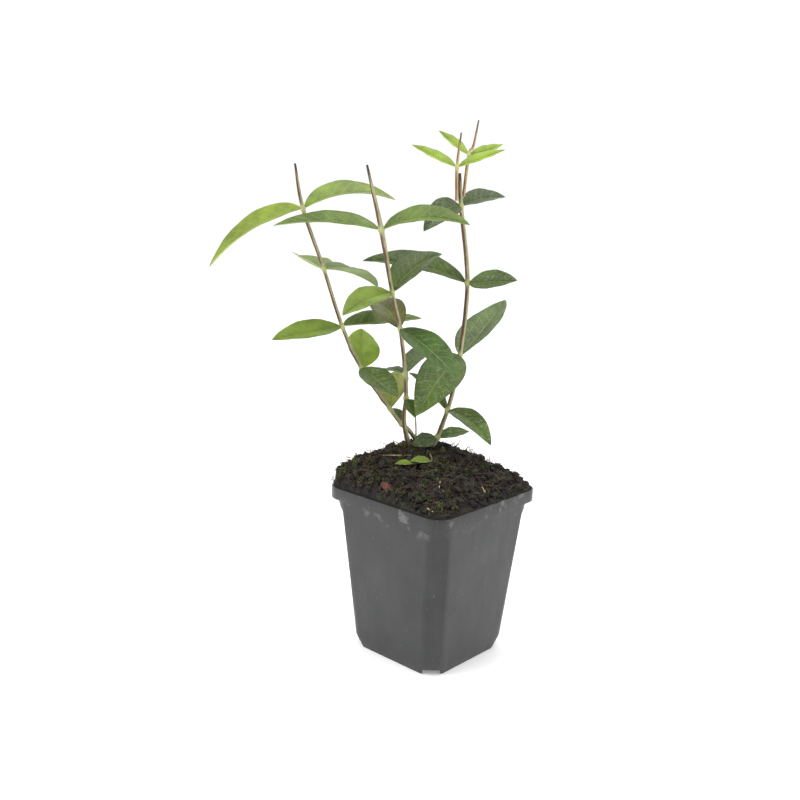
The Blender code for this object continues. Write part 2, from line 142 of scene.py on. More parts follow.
# The stems: x, y, z and radius of each joint in millimetres, and the number of its pair of leaves
Joint = namedtuple("Joint", "x y z radius pair")
STEMS = {
    "stem_left": (
        Joint(-21.5, 11.5, 115, 1.7, 0),
        Joint(-23.5, 9.5, 122, 1.4, 0),
        Joint(-27, 6, 128.5, 1.3, 0),
        Joint(-29.5, 3.5, 131, 1.2, 6),
        Joint(-33.5, -2.5, 140.5, 1.2, 5),
        Joint(-44.5, -16.5, 165.5, 1.1, 4),
        Joint(-52, -25.5, 190.5, 1.1, 3),
        Joint(-59, -34, 223.5, 1.0, 2),
        Joint(-66, -44, 257.5, 1.1, 1),
        Joint(-69, -47.5, 282, 0.7, 0),
    ),
    "stem_middle": (
        Joint(-23.5, 6, 114, 1.8, 0),
        Joint(-24, 0.5, 130.5, 1.4, 0),
        Joint(-22.5, -2, 140.5, 1.3, 0),
        Joint(-20.5, -3, 149.5, 1.3, 5),
        Joint(-18.5, -6.5, 165, 1.2, 4),
        Joint(-18, -12.5, 192, 1.1, 3),
        Joint(-18.5, -19.5, 213.5, 1.1, 2),
        Joint(-19, -29, 248.5, 1.4, 1),
        Joint(-21.5, -38.5, 282.5, 0.7, 0),
    ),
    "stem_right": (
        Joint(-15.5, 13.5, 115, 1.9, 0),
        Joint(-12, 16.5, 124, 1.5, 6),
        Joint(-9, 21.5, 140.5, 1.3, 5),
        Joint(-7, 24.5, 155.5, 1.3, 0),
        Joint(-6, 27.5, 173.5, 1.3, 4),
        Joint(-6, 31.5, 216.5, 1.3, 3),
        Joint(-12, 30, 260.5, 1.3, 2),
        Joint(-14, 30, 279, 1.1, 0),
    ),
    "shoot_front": (
        Joint(-13, 27, 263.5, 0.9, 0),
        Joint(-12, 25, 282.5, 0.9, 1),
        Joint(-9.5, 24.5, 301.5, 0.5, 0),
    ),
    "shoot_back": (
        Joint(-12.8, 32.8, 265.5, 1.0, 0),
        Joint(-13.5, 37, 289.5, 0.9, 1),
        Joint(-12, 39, 294.5, 0.8, 0),
        Joint(-10.5, 41, 309, 0.5, 0),
    ),
    "twig_dry": (
        Joint(-19.8, 6, 115, 0.5, 0),
        Joint(-19.6, 5.8, 127, 0.5, 0),
        Joint(-20, 5, 141, 0.4, 0),
    ),
}
GROUND = CROWN.z + 0.4 * MM
ROOTED = 2 * MM  # a stem that starts further than this below the ground grows out of the soil
BURIED = 3.2 * MM  # how much of such a stem is kept below the ground
STEM_STEP_MM = 0.8
STEM_SIDES = 16
STEM_SHARP = 50
NODE_SWELL = 0.45
NODE_LENGTH = 1.3 * MM
TIP_LENGTH = 9 * MM  # the dried end of a cut or broken stem
TIP_SHRINK = 0.18
# Painted light: the bark is painted pale on the side that faces this way, and browner, partly as painted
# shade, on the other
BARK_LIT_FROM = (0.77, 0.64, 0.0)  # the side on which the bark is pale
# Joints and dry end of the old bark, whose painted lit and shaded sides are in the settings
BARK_NODE, BARK_TIP = (0.45, 0.48, 0.2), (0.05, 0.028, 0.018)
# Painted lit side, painted shaded side, joints and dry end of the other kinds
YOUNG_BARK = ((0.5, 0.42, 0.2), (0.25, 0.09, 0.04), (0.55, 0.58, 0.22), (0.12, 0.08, 0.05))
DRY_BARK = ((0.5, 0.45, 0.38), (0.25, 0.21, 0.17), (0.5, 0.45, 0.38), (0.3, 0.25, 0.2))

# The leaves: length and width in millimetres, heading, rise, droop and roll as in the solid model, and tint
Leaf = namedtuple("Leaf", "length width heading rise droop roll tint")
LEAVES = {
    "leaves_left_1": (Leaf(68, 23, 206, -14, 36, -32, "olive"), Leaf(56, 24, 65, 30, 50, 15, "fresh")),
    "leaves_left_2": (Leaf(40, 24, 160, 3, -5, 10, "fresh"), Leaf(42, 21, 85, -3, 30, 5, "mid")),
    "leaves_left_3": (Leaf(45, 18, 260, -5, 0, -25, "fresh"), Leaf(57, 21, 80, 0, 0, 15, "mid")),
    "leaves_left_4": (Leaf(33, 22, 135, 28, -10, 20, "lime"), Leaf(40, 18, 345, -15, -5, 15, "mottled")),
    "leaves_left_5": (Leaf(40, 21, 125, 30, 15, -15, "autumn"),),
    "leaves_left_6": (Leaf(16, 8, 150, 30, 20, -5, "deep"),),
    "leaves_middle_1": (Leaf(60, 18, 210, 12, 25, -20, "mid"), Leaf(47, 20, 35, 27, 45, 25, "mid")),
    "leaves_middle_2": (Leaf(41, 18, 275, -2, 20, -20, "fresh"), Leaf(39, 24, 80, 50, 40, 10, "deep")),
    "leaves_middle_3": (Leaf(53, 20, 350, -13, 15, 15, "rich"), Leaf(42, 20, 155, 30, 35, -15, "bronze")),
    "leaves_middle_4": (Leaf(18, 10, 180, 10, 30, 0, "deep"), Leaf(40, 17, 105, 25, 10, -10, "deep")),
    "leaves_middle_5": (Leaf(14, 9, 335, -22, 20, 5, "mid"),),
    "leaves_right_2": (Leaf(41, 15, 280, 2, 40, -40, "grey"), Leaf(31, 17, 76, 20, 22, 22, "grey")),
    "leaves_right_3": (Leaf(61, 22, 220, 25, 30, -25, "deep"), Leaf(31, 16, 7, 5, -5, 42, "mottled")),
    "leaves_right_4": (
        Leaf(59, 26, 285, -15, 20, -25, "mottled"),
        Leaf(60, 28, 100, 22, -10, -10, "mottled"),
    ),
    "leaves_right_5": (Leaf(40, 15, 350, 5, 45, 15, "mottled"), Leaf(32, 15, 190, 45, 20, 0, "deep")),
    "leaves_right_6": (Leaf(16, 12, 257, -20, -20, -32, "grey"), Leaf(19, 11, 65, 12, 10, 20, "mottled")),
    "leaves_front_1": (Leaf(28, 10, 205, 21, -5, -25, "lime"), Leaf(29, 9, 60, 20, 0, 25, "lime")),
    "leaves_back_1": (Leaf(22, 9, 195, 32, -5, -20, "lime"), Leaf(21, 9, 65, 10, -15, 25, "lime")),
}
LEAF_STEM = {"left": "stem_left", "middle": "stem_middle", "right": "stem_right"}
LEAF_STEM.update({"front": "shoot_front", "back": "shoot_back"})
LEAF_FOLD = 20
LEAF_SINK = 0.4 * MM
LEAF_HOLD = 0.9  # share of the stem's radius at which a leaf starts
COLLAR_GAP = 0.5 * MM
SOLID_SWELL = 0.18
LEAF_TIP = 0.12 * MM
LEAF_ROOT = 0.6 * MM
SPRIG = (Joint(-2, -1, 119.2, 0.5, 0), Joint(5, -8.5, 117.8, 0.5, 1), Joint(-1, -17.5, 116.8, 0.4, 2))
SPRIG_LEAVES = (Leaf(12, 8, 235, 3, 0, -15, "fresh"), Leaf(10, 6, 220, 0, 5, -15, "fresh"))

# The grid of a blade and what shapes it
HALF_LINES = (0.03, 0.09, 0.2, 0.36, 0.53, 0.7, 0.86, 1)
BLADE_LINES = (*(-line for line in reversed(HALF_LINES)), 0, *HALF_LINES)
FULL_STEPS_MM = 35  # a leaf at least this long gets all its steps
FEWEST_STEPS = 10
VEIN_PAIRS = 9
VEIN_SLANT = 1.7
WAVE_TURNS = 21  # radians of the margin's wave from the root to the tip
GROOVE = 0.22 * MM
MIDRIB = 0.18 * MM
MIDRIB_HALF = 0.05
FULL_BODY = 3 * MM  # half width under which the relief fades and the blade thins

# Upper side, underside and how strongly each tint is flecked
TINTS = {
    "lime": ((0.24, 0.35, 0.03), (0.32, 0.42, 0.09), 0.1),
    "fresh": ((0.15, 0.225, 0.022), (0.28, 0.36, 0.1), 0.2),
    "olive": ((0.17, 0.235, 0.012), (0.43, 0.48, 0.15), 0.15),
    "mid": ((0.09, 0.145, 0.018), (0.24, 0.31, 0.11), 0.35),
    "rich": ((0.045, 0.1, 0.014), (0.19, 0.28, 0.12), 0.35),
    "deep": ((0.055, 0.09, 0.016), (0.16, 0.23, 0.09), 0.5),
    "mottled": ((0.07, 0.115, 0.022), (0.18, 0.25, 0.1), 0.9),
    "grey": ((0.06, 0.09, 0.035), (0.17, 0.22, 0.12), 0.7),
    "bronze": ((0.1, 0.1, 0.022), (0.18, 0.2, 0.08), 0.4),
    "autumn": ((0.2, 0.22, 0.02), (0.3, 0.33, 0.1), 0.5),
}
LEAF_SPECULAR = 0.28

# The stage
WHITE = (1, 1, 1)
PAPER = (0.9, 0.9, 0.9)
FLOOR_HALF = 6
FLOOR_GLOW = 0.24
SKY_BACK, SKY_FRONT = 1.05, 0.12  # the light from behind the pot and from behind the camera
# Name, place, what it is aimed at, size and power in watts
LIGHTS = (
    ("key", (-0.35, -0.9, 0.95), (0, 0, 0.15), 0.7, 9),
    ("fill", (1.0, -0.1, 0.6), (0, 0, 0.12), 0.9, 4),
    ("top", (0, 0.2, 1.3), (0, 0, 0.1), 1.0, 7),
)


def length_field(name, description, default):
    """A length that a user may change."""
    return bpy.props.FloatProperty(name=name, description=description, default=default, subtype="DISTANCE")


def angle_field(name, description, default):
    """An angle that a user may change, its default given in degrees."""
    radians = math.radians(default)
    return bpy.props.FloatProperty(name=name, description=description, default=radians, subtype="ANGLE")


def color_field(name, description, default):
    """A colour that a user may change."""
    return bpy.props.FloatVectorProperty(
        name=name, description=description, default=default, min=0, max=1, subtype="COLOR"
    )


def count_field(name, description, default, least=0):
    """A whole number that a user may change."""
    return bpy.props.IntProperty(name=name, description=description, default=default, min=least)


class PotSettings(bpy.types.PropertyGroup):
    """How the pot is finished."""

    edge: length_field("Edge rounding", "Radius of its moulded edges", 0.5 * MM)
    corner_steps: count_field("Corner steps", "Segments round each corner", 14, 4)
    scuffs: bpy.props.FloatProperty(
        name="Scuffs", description="How much the wall is scuffed", default=0.5, min=0, max=1, subtype="FACTOR"
    )
    dark: color_field("Dark tone", "Plastic in its darker clouds", (0.018, 0.0185, 0.019))
    light: color_field("Light tone", "Plastic in its lighter clouds", (0.028, 0.0285, 0.029))


class SoilSettings(bpy.types.PropertyGroup):
    """How coarse the soil is, its colours and what lies on it."""

    lumpiness: length_field("Lumpiness", "Height of its larger lumps", 3.2 * MM)
    crumbs: count_field("Crumbs", "Loose crumbs on the mound", 1500)
    fibres: count_field("Fibres", "Root and peat fibres", 700)
    tufts: count_field("Moss tufts", "Small tufts of moss", 170)
    seed: count_field("Seed", "Start of the random draws", 7)
    peat: color_field("Peat", "Brown of the mound's lumps", (0.028, 0.02, 0.012))
    crumb: color_field("Crumbs", "Brown of the loose crumbs", (0.05, 0.036, 0.02))
    moss: color_field("Moss", "Light green of the moss", (0.14, 0.16, 0.035))


class StemSettings(bpy.types.PropertyGroup):
    """The surface of the stems."""

    relief: length_field("Relief", "Depth of the ridges along the bark", 0.06 * MM)
    # The lit side's colour is painted light; the shaded side is the bark's own brown with painted shade
    painted_lit_side: color_field("Lit side", "Bark on the side that was in the sun", (0.4, 0.38, 0.2))
    shaded: color_field("Shaded side", "Bark on the other side", (0.1, 0.042, 0.022))


class LeafSettings(bpy.types.PropertyGroup):
    """The fineness, surface and markings of the leaves."""

    steps: count_field("Steps", "Faces along a leaf", 40, 8)
    thickness: length_field("Thickness", "Thickness of a blade", 0.45 * MM)
    wave: length_field("Wave", "Height of the waves in the margin", 0.15 * MM)
    quilt: length_field("Quilting", "How far the blade swells between veins", 0.13 * MM)
    vein: color_field("Veins", "Pale green that the veins lean to", (0.42, 0.5, 0.16))
    fleck: color_field("Flecks", "Greyish green of the flecks", (0.36, 0.44, 0.26))
    margin: color_field("Red margin", "Edge of a leaf in autumn colour", (0.33, 0.07, 0.03))


class StageSettings(bpy.types.PropertyGroup):
    """The camera."""

    azimuth: angle_field("Azimuth", "Where the camera stands", 40.4)
    distance: length_field("Distance", "From the pot's axis", 575 * MM)
    height: length_field("Height", "Of the lens above the floor", 287 * MM)
    pitch: angle_field("Pitch", "How far it looks down", 13.3)
    yaw: angle_field("Yaw", "Turn of its aim off the axis", 2.06)
    roll: angle_field("Roll", "Turn about its aim", 1.66)
    lens: bpy.props.FloatProperty(name="Lens", description="Focal length", default=46.215, unit="CAMERA")


# Objects and meshes


def link_object(name, data):
    """Puts an object in the scene."""
    thing = bpy.data.objects.new(name, data)
    bpy.context.scene.collection.objects.link(thing)
    return thing


def add_piece(name, mesh, materials, slot, *nodes):
    """Puts a finished mesh in the scene, riding on the body and standing for solid nodes."""
    if not mesh.polygons:
        raise RuntimeError(f"{name} came out empty")
    for material in materials:
        mesh.materials.append(material)
    thing = link_object(name, mesh)
    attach(thing, BODY)
    if nodes:
        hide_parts(*nodes)


def shade_smooth(mesh, sharp):
    """Shades a mesh smooth, with its edges over an angle kept sharp."""
    for polygon in mesh.polygons:
        polygon.use_smooth = True
    if sharp < 180:
        mesh.set_sharp_from_angle(angle=math.radians(sharp))


def mesh_from(bm, name, sharp=180):
    """Turns a bmesh into a smooth-shaded mesh whose faces point outwards."""
    bmesh.ops.recalc_face_normals(bm, faces=bm.faces)
    mesh = bpy.data.meshes.new(name)
    bm.to_mesh(mesh)
    bm.free()
    shade_smooth(mesh, sharp)
    return mesh


def spin_about_z(degrees):
    """A turn about the vertical."""
    return Matrix.Rotation(math.radians(degrees), 3, "Z")


def aim(heading, slope):
    """The direction with a heading and a slope, both in radians."""
    return Vector((math.cos(heading) * math.cos(slope), math.sin(heading) * math.cos(slope), math.sin(slope)))


def ring_edges(bm, loop):
    """The edges round a closed row of vertices."""
    edges = []
    for i, vert in enumerate(loop):
        pair = (vert, loop[(i + 1) % len(loop)])
        edges.append(bm.edges.get(pair) or bm.edges.new(pair))
    return edges


def stack_rings(bm, rings):
    """Joins outlines of equally many points into one closed skin, and gives back their vertices."""
    loops = [[bm.verts.new(point) for point in ring] for ring in rings]
    for lower, upper in zip(loops, loops[1:]):
        bmesh.ops.bridge_loops(bm, edges=ring_edges(bm, lower) + ring_edges(bm, upper))
    bm.faces.new(reversed(loops[0]))
    bm.faces.new(loops[-1])
    return loops


# Materials


class Shader:
    """A small set of steps for laying out a material's nodes."""

    def __init__(self, tree):
        self.tree = tree

    def node(self, kind, inputs=None, **settings):
        """Adds a node, sets its fields, and fills or links its inputs."""
        node = self.tree.nodes.new(kind)
        for name, value in settings.items():
            setattr(node, name, value)
        for key, value in (inputs or {}).items():
            self.feed(node.inputs[key], value)
        return node

    def feed(self, socket, value):
        """Links a socket, or sets its value. A colour gets full opacity."""
        if isinstance(value, bpy.types.NodeSocket):
            self.tree.links.new(value, socket)
        elif socket.type == "RGBA":
            socket.default_value = (*value, 1)
        else:
            socket.default_value = value

    def math(self, operation, a, b=0.0):
        """One sum."""
        return self.node("ShaderNodeMath", {0: a, 1: b}, operation=operation).outputs[0]

    def times(self, a, b):
        """A product."""
        return self.math("MULTIPLY", a, b)

    def band(self, value, low, high, start=0.0, end=1.0):
        """A smooth step from start to end while the value goes from low to high."""
        inputs = {"Value": value, "From Min": low, "From Max": high, "To Min": start, "To Max": end}
        return self.node("ShaderNodeMapRange", inputs, interpolation_type="SMOOTHSTEP").outputs[0]

    def mix(self, factor, a, b):
        """Mixes two colours. The numbers are the colour mixer's own sockets."""
        node = self.node("ShaderNodeMix", data_type="RGBA")
        for index, value in ((0, factor), (6, a), (7, b)):
            self.feed(node.inputs[index], value)
        return node.outputs[2]

    def noise(self, place, scale, detail=3.0, roughness=0.5):
        """Fractal noise at a place."""
        inputs = {"Vector": place, "Scale": scale, "Detail": detail, "Roughness": roughness}
        return self.node("ShaderNodeTexNoise", inputs).outputs[0]

    def grain(self, place, x, y, z, detail=3.0, roughness=0.5):
        """Noise whose grain differs along the three axes."""
        stretched = self.node("ShaderNodeMapping", {"Vector": place, "Scale": (x, y, z)}).outputs[0]
        return self.noise(stretched, 1, detail, roughness)

    def bump(self, height, strength, distance):
        """A bumped normal."""
        inputs = {"Height": height, "Strength": strength, "Distance": distance}
        return self.node("ShaderNodeBump", inputs).outputs[0]

    def place(self):
        """Object coordinates."""
        return self.node("ShaderNodeTexCoord").outputs["Object"]

    def attribute(self, name):
        """A value kept on the mesh's vertices."""
        return self.node("ShaderNodeAttribute", attribute_name=name).outputs["Fac"]


def new_material(name, roughness, color=(0.5, 0.5, 0.5)):
    """A material, its node layout helper and the sockets of its Principled shader."""
    material = bpy.data.materials.new(name)
    material.use_nodes = True
    shader = Shader(material.node_tree)
    surface = material.node_tree.nodes["Principled BSDF"].inputs
    shader.feed(surface["Base Color"], color)
    shader.feed(surface["Roughness"], roughness)
    return material, shader, surface


def tone(color, gain):
    """A lighter or darker tone of a colour."""
    return tuple(channel * gain for channel in color)


# The pot


def corner_ring(half, corner, roundness, height, steps):
    """One level outline of the pot: a square whose corners are cut flat (0) or rounded (1)."""
    points = []
    for quarter in range(4):
        turn = Matrix.Rotation(quarter * math.pi / 2, 3, "Z")
        for step in range(steps + 1):
            share = step / steps
            flat = Vector((half - corner * share, half - corner * (1 - share), 0))
            angle = share * math.pi / 2
            inner = half - corner
            arc = Vector((inner + corner * math.cos(angle), inner + corner * math.sin(angle), 0))
            point = turn @ flat.lerp(arc, roundness)
            points.append(Vector((point.x, point.y, height)))
    return points


def wall_half(height):
    """Half the outer width of the wall at a height: tapered, and drawn in at the foot."""
    if height < FOOT_HEIGHT:
        return POT_BASE_HALF + (POT_FOOT_HALF - POT_BASE_HALF) * height / FOOT_HEIGHT
    rise = (height - FOOT_HEIGHT) / (NECK - FOOT_HEIGHT)
    return POT_FOOT_HALF + (POT_NECK_HALF - POT_FOOT_HALF) * rise


def corner_cut(height):
    """How much of each side the flat corner takes at a height."""
    return BASE_CUT + (CORNER_CUT - BASE_CUT) * height / CUT_TOP


def flat_depth(height):
    """Distance of a corner flat from the pot's axis."""
    return (2 * wall_half(height) - corner_cut(height)) / math.sqrt(2)


def helper(name, bm):
    """An object for a Boolean, removed after use."""
    return link_object(name, mesh_from(bm, name))


def lofted(name, rows, steps):
    """A helper solid through a stack of outlines, each given as corner_ring takes it."""
    bm = bmesh.new()
    stack_rings(bm, [corner_ring(*row, steps) for row in rows])
    return helper(name, bm)


def drain_blocks(name, margin):
    """The four drain slots as blocks in one cutter."""
    corner_reach = (2 * POT_BASE_HALF - BASE_CUT) / math.sqrt(2)
    inner = corner_reach - DRAIN_DEPTH - margin
    outer = corner_reach + DRAIN_DEPTH
    size = Vector((outer - inner, DRAIN_WIDTH + 2 * margin, 2 * (DRAIN_HEIGHT + margin)))
    bm = bmesh.new()
    for quarter in range(4):
        block = bmesh.ops.create_cube(bm, size=1)["verts"]
        bmesh.ops.scale(bm, verts=block, vec=size)
        bmesh.ops.translate(bm, verts=block, vec=Vector(((outer + inner) / 2, 0, 0)))
        bmesh.ops.rotate(bm, verts=block, matrix=spin_about_z(45 + 90 * quarter))
    return helper(name, bm)


def corner_flats(name):
    """Arch-topped cutters that take the round off each corner below the rim."""
    arch = CORNER_CUT / math.sqrt(2)
    rows = [(-CUTTER_BELOW, BASE_CUT / math.sqrt(2)), (0, BASE_CUT / math.sqrt(2))]
    rows += [(FOOT_HEIGHT, corner_cut(FOOT_HEIGHT) / math.sqrt(2)), (ARCH_SPRING, arch)]
    for angle in map(math.radians, ARCH_ANGLES):
        rows.append((ARCH_SPRING + arch * math.sin(angle), arch * math.cos(angle)))
    bm = bmesh.new()
    for quarter in range(4):
        turn = spin_about_z(45 + 90 * quarter)
        ladder = []
        for height, half in rows:
            near = flat_depth(max(height, 0))
            far = near + CUTTER_DEPTH
            corners = ((near, -half), (near, half), (far, half), (far, -half))
            ladder.append([turn @ Vector((x, y, height)) for x, y in corners])
        stack_rings(bm, ladder)
    return helper(name, bm)


def apply_modifiers(thing):
    """Keeps the shape that an object's modifiers give, without the modifiers."""
    depsgraph = bpy.context.evaluated_depsgraph_get()
    mesh = bpy.data.meshes.new_from_object(thing.evaluated_get(depsgraph), depsgraph=depsgraph)
    thing.modifiers.clear()
    thing.data = mesh
    return mesh


def cut_away(thing, cutter):
    """Takes a cutter's shape out of an object for good."""
    cut = thing.modifiers.new("cut", "BOOLEAN")
    cut.operation = "DIFFERENCE"
    cut.object = cutter
    apply_modifiers(thing)
    bpy.data.objects.remove(cutter, do_unlink=True)


def pot_material(settings):
    """Recycled dark grey plastic: grained, faintly streaked down the wall and scuffed."""
    material, shader, surface = new_material("pot_plastic", 0.42)
    place = shader.place()
    height = shader.node("ShaderNodeSeparateXYZ", {0: place}).outputs[2]
    cloud = shader.noise(place, 38, 4)
    streak = shader.grain(place, 150, 150, 38, 4, 0.6)
    fleck = shader.grain(place, 900, 900, 240, 2)
    base = shader.mix(shader.band(cloud, 0.35, 0.7), settings.dark, settings.light)
    dull = shader.times(shader.band(streak, 0.56, 0.74), settings.scuffs)
    base = shader.mix(shader.times(dull, 0.12), base, DULL_PLASTIC)
    patch = shader.band(shader.noise(place, 95, 5, 0.65), 0.55, 0.68)
    upper = shader.band(height, DUST_FROM, DUST_FULL)
    dust = shader.times(shader.times(upper, patch), settings.scuffs)
    base = shader.mix(shader.times(dust, 0.9), base, DUSTY_PLASTIC)
    scratch = shader.times(shader.band(fleck, 0.68, 0.78), settings.scuffs)
    base = shader.mix(shader.times(scratch, 0.5), base, SCRATCHED_PLASTIC)
    shader.feed(surface["Base Color"], base)
    shader.feed(surface["Roughness"], shader.band(streak, 0.3, 0.75, 0.36, 0.48))
    relief = shader.math("ADD", shader.noise(place, 1400, 2), shader.times(cloud, 3))
    shader.feed(surface["Normal"], shader.bump(relief, 0.12, 0.15 * MM))
    return material


def build_pot(settings):
    """The thin-walled pot with rolled edges, arch-topped corner flats and four drain slots."""
    outside = [(wall_half(z), CORNER_ROUND, 1, z) for z in (0, FOOT_HEIGHT, CUT_TOP, NECK)]
    outside += [(RIM_HALF, CORNER_ROUND, 1, z) for z in (NECK + RIM_STEP, POT_HEIGHT)]
    inner_round = CORNER_ROUND - POT_WALL
    inner_rim = RIM_HALF - POT_WALL
    inside = (
        (wall_half(POT_FLOOR) - POT_WALL, corner_cut(0), 0, POT_FLOOR),
        (wall_half(FOOT_HEIGHT) - POT_WALL, corner_cut(FOOT_HEIGHT), 0, FOOT_HEIGHT),
        (wall_half(CUT_TOP) - POT_WALL, CORNER_CUT, 0, CUT_TOP),
        (POT_NECK_HALF - POT_WALL, inner_round, 1, NECK + POT_WALL),
        (inner_rim, inner_round, 1, NECK + POT_WALL + RIM_STEP),
        (inner_rim, inner_round, 1, POT_HEIGHT + POT_WALL),
    )
    cavity = lofted("cavity", inside, settings.corner_steps)
    cut_away(cavity, drain_blocks("drain_walls", POT_WALL))
    body = lofted("pot_body", outside, settings.corner_steps)
    cut_away(body, corner_flats("corner_flats"))
    cut_away(body, drain_blocks("drain_slots", 0))
    cut_away(body, cavity)
    bevel = body.modifiers.new("edges", "BEVEL")
    bevel.width = settings.edge
    bevel.segments = EDGE_SEGMENTS
    bevel.limit_method = "ANGLE"
    bevel.angle_limit = math.radians(EDGE_FROM)
    mesh = apply_modifiers(body)
    bpy.data.objects.remove(body, do_unlink=True)
    shade_smooth(mesh, POT_SHARP)
    mesh.materials.clear()
    add_piece("pot_wall", mesh, [pot_material(settings)], "pot_plastic", "pot")


# The soil


def soil_height(x, y):
    """Height of the mound over a point inside the rim, falling from the crown to its heaped edge."""
    half = RIM_HALF - POT_WALL - CLEARANCE
    shares = [0.0]
    for place, middle in ((x - CROWN.x, CROWN.x), (y - CROWN.y, CROWN.y)):
        if place:
            shares.append(place / (math.copysign(half, place) - middle))
    share = min(max(shares), 1)
    heap = HEAP_EDGE + HEAP_TILT * x
    edge = POT_HEIGHT + heap * (1 - share**BRIM_POWER)
    return edge + (CROWN.z - POT_HEIGHT - heap) * (1 - share**MOUND_POWER)


def lump_height(x, y, lumpiness):
    """Lumps and pits of the soil over its smooth mound."""
    place = Vector((x, y, 0))
    broad = noise.noise(place * 110) * 0.5
    middle = noise.noise(place * 260 + Vector((5, 3, 1))) * 0.45
    fine = abs(noise.noise(place * 620 + Vector((1, 8, 2)))) * 0.5
    return (broad + middle + fine - 0.25) * lumpiness


def soil_top(x, y, settings):
    """Height of the lumpy soil over a point."""
    return soil_height(x, y) + lump_height(x, y, settings.lumpiness)


def even_ring(ring, count):
    """The same closed outline through evenly spaced points."""
    lengths = [0.0]
    for i, point in enumerate(ring):
        lengths.append(lengths[-1] + (ring[(i + 1) % len(ring)] - point).length)
    points = []
    i = 0
    for k in range(count):
        target = lengths[-1] * k / count
        while lengths[i + 1] < target:
            i += 1
        part = (target - lengths[i]) / (lengths[i + 1] - lengths[i])
        points.append(ring[i].lerp(ring[(i + 1) % len(ring)], part))
    return points


def soil_material(name, dark, light, film_color):
    """Damp peat: nearly black, browner on its lumps, with a green film here and there."""
    material, shader, surface = new_material(name, 0.9)
    place = shader.place()
    base = shader.mix(shader.band(shader.noise(place, 420, 5, 0.65), 0.42, 0.7), dark, light)
    patch = shader.band(shader.noise(place, 90, 3), 0.52, 0.66)
    film = shader.times(patch, shader.band(shader.noise(place, 700, 2), 0.45, 0.6))
    base = shader.mix(shader.times(film, FILM_STRENGTH), base, film_color)
    shader.feed(surface["Base Color"], base)
    shader.feed(surface["Normal"], shader.bump(shader.noise(place, 1500, 4), 0.7, 0.5 * MM))
    return material


def build_mound(settings):
    """The peat in the pot, lumpy where it shows."""
    drain_corner = BASE_CUT + DRAIN_ROOM * (DRAIN_DEPTH + POT_WALL)
    drain_top = DRAIN_HEIGHT + POT_WALL + CLEARANCE
    shelf = NECK + POT_WALL + 2 * CLEARANCE
    brim_round = CORNER_ROUND - BRIM_GAP
    rows = (
        (wall_half(POT_FLOOR) - DEEP_GAP, drain_corner, 0, POT_FLOOR + CLEARANCE),
        (wall_half(drain_top) - DEEP_GAP, drain_corner, 0, drain_top),
        (wall_half(FOOT_HEIGHT) - DEEP_GAP, corner_cut(FOOT_HEIGHT), 0, FOOT_HEIGHT),
        (wall_half(CUT_TOP) - DEEP_GAP, CORNER_CUT, 0, CUT_TOP),
        (POT_NECK_HALF - DEEP_GAP, brim_round, 1, shelf),
        (RIM_HALF - BRIM_GAP, brim_round, 1, shelf + 2 * CLEARANCE),
        (RIM_HALF - BRIM_GAP, brim_round, 1, POT_HEIGHT - BRIM_DROP),
    )
    rings = [even_ring(corner_ring(*row, MOUND_CORNER_STEPS), MOUND_POINTS) for row in rows]
    brim = rings[-1]
    for row in range(1, MOUND_ROWS):
        ring = []
        for point in brim:
            flat = CROWN.lerp(point, 1 - row / MOUND_ROWS)
            rim_share = min(1, row / MOUND_EDGE_ROWS)
            lump = lump_height(flat.x, flat.y, settings.lumpiness) * rim_share
            height = soil_height(flat.x, flat.y) + lump
            if row < MOUND_EDGE_ROWS:
                height = max(height, POT_HEIGHT - EDGE_DROP)
            ring.append(Vector((flat.x, flat.y, height)))
        rings.append(ring)
    bm = bmesh.new()
    stack_rings(bm, rings)
    peat = soil_material("peat", PEAT_DARK, settings.peat, PEAT_FILM)
    add_piece("soil_mound", mesh_from(bm, "soil_mound"), [peat], "peat", "soil")


def soil_place(draw, margin):
    """A random place on the mound, a margin inside the rim."""
    reach = RIM_HALF - POT_WALL - margin
    corner = RIM_HALF - CORNER_ROUND
    while True:
        x = draw.uniform(-reach, reach)
        y = draw.uniform(-reach, reach)
        outside = Vector((max(abs(x) - corner, 0), max(abs(y) - corner, 0)))
        if outside.length < CORNER_ROUND - POT_WALL - margin:
            return x, y


def ball_template(fineness):
    """Vertices and faces of a unit ball, to be copied into crumbs."""
    bm = bmesh.new()
    bmesh.ops.create_icosphere(bm, subdivisions=fineness, radius=1)
    places = [vert.co.copy() for vert in bm.verts]
    faces = [[vert.index for vert in face.verts] for face in bm.faces]
    bm.free()
    return places, faces


def add_lump(bm, draw, place, size, template):
    """One irregular crumb, copied in by hand because an operator goes over the whole batch each time."""
    places, faces = template
    stretch = Vector((draw.uniform(0.7, 1.3), draw.uniform(0.7, 1.3), draw.uniform(0.55, 0.95))) * size
    seed = Vector((draw.uniform(0, 99), draw.uniform(0, 99), 0))
    turn = Matrix.Rotation(draw.uniform(0, math.tau), 3, "Z")
    turn = turn @ Matrix.Rotation(draw.uniform(-0.6, 0.6), 3, "X")
    verts = []
    for unit in places:
        bulge = 1 + 0.55 * noise.noise(unit * 1.6 + seed) + 0.3 * noise.noise(unit * 4 + seed)
        local = Vector((unit.x * stretch.x, unit.y * stretch.y, unit.z * stretch.z)) * bulge
        verts.append(bm.verts.new(place + turn @ local))
    for face in faces:
        bm.faces.new([verts[i] for i in face])


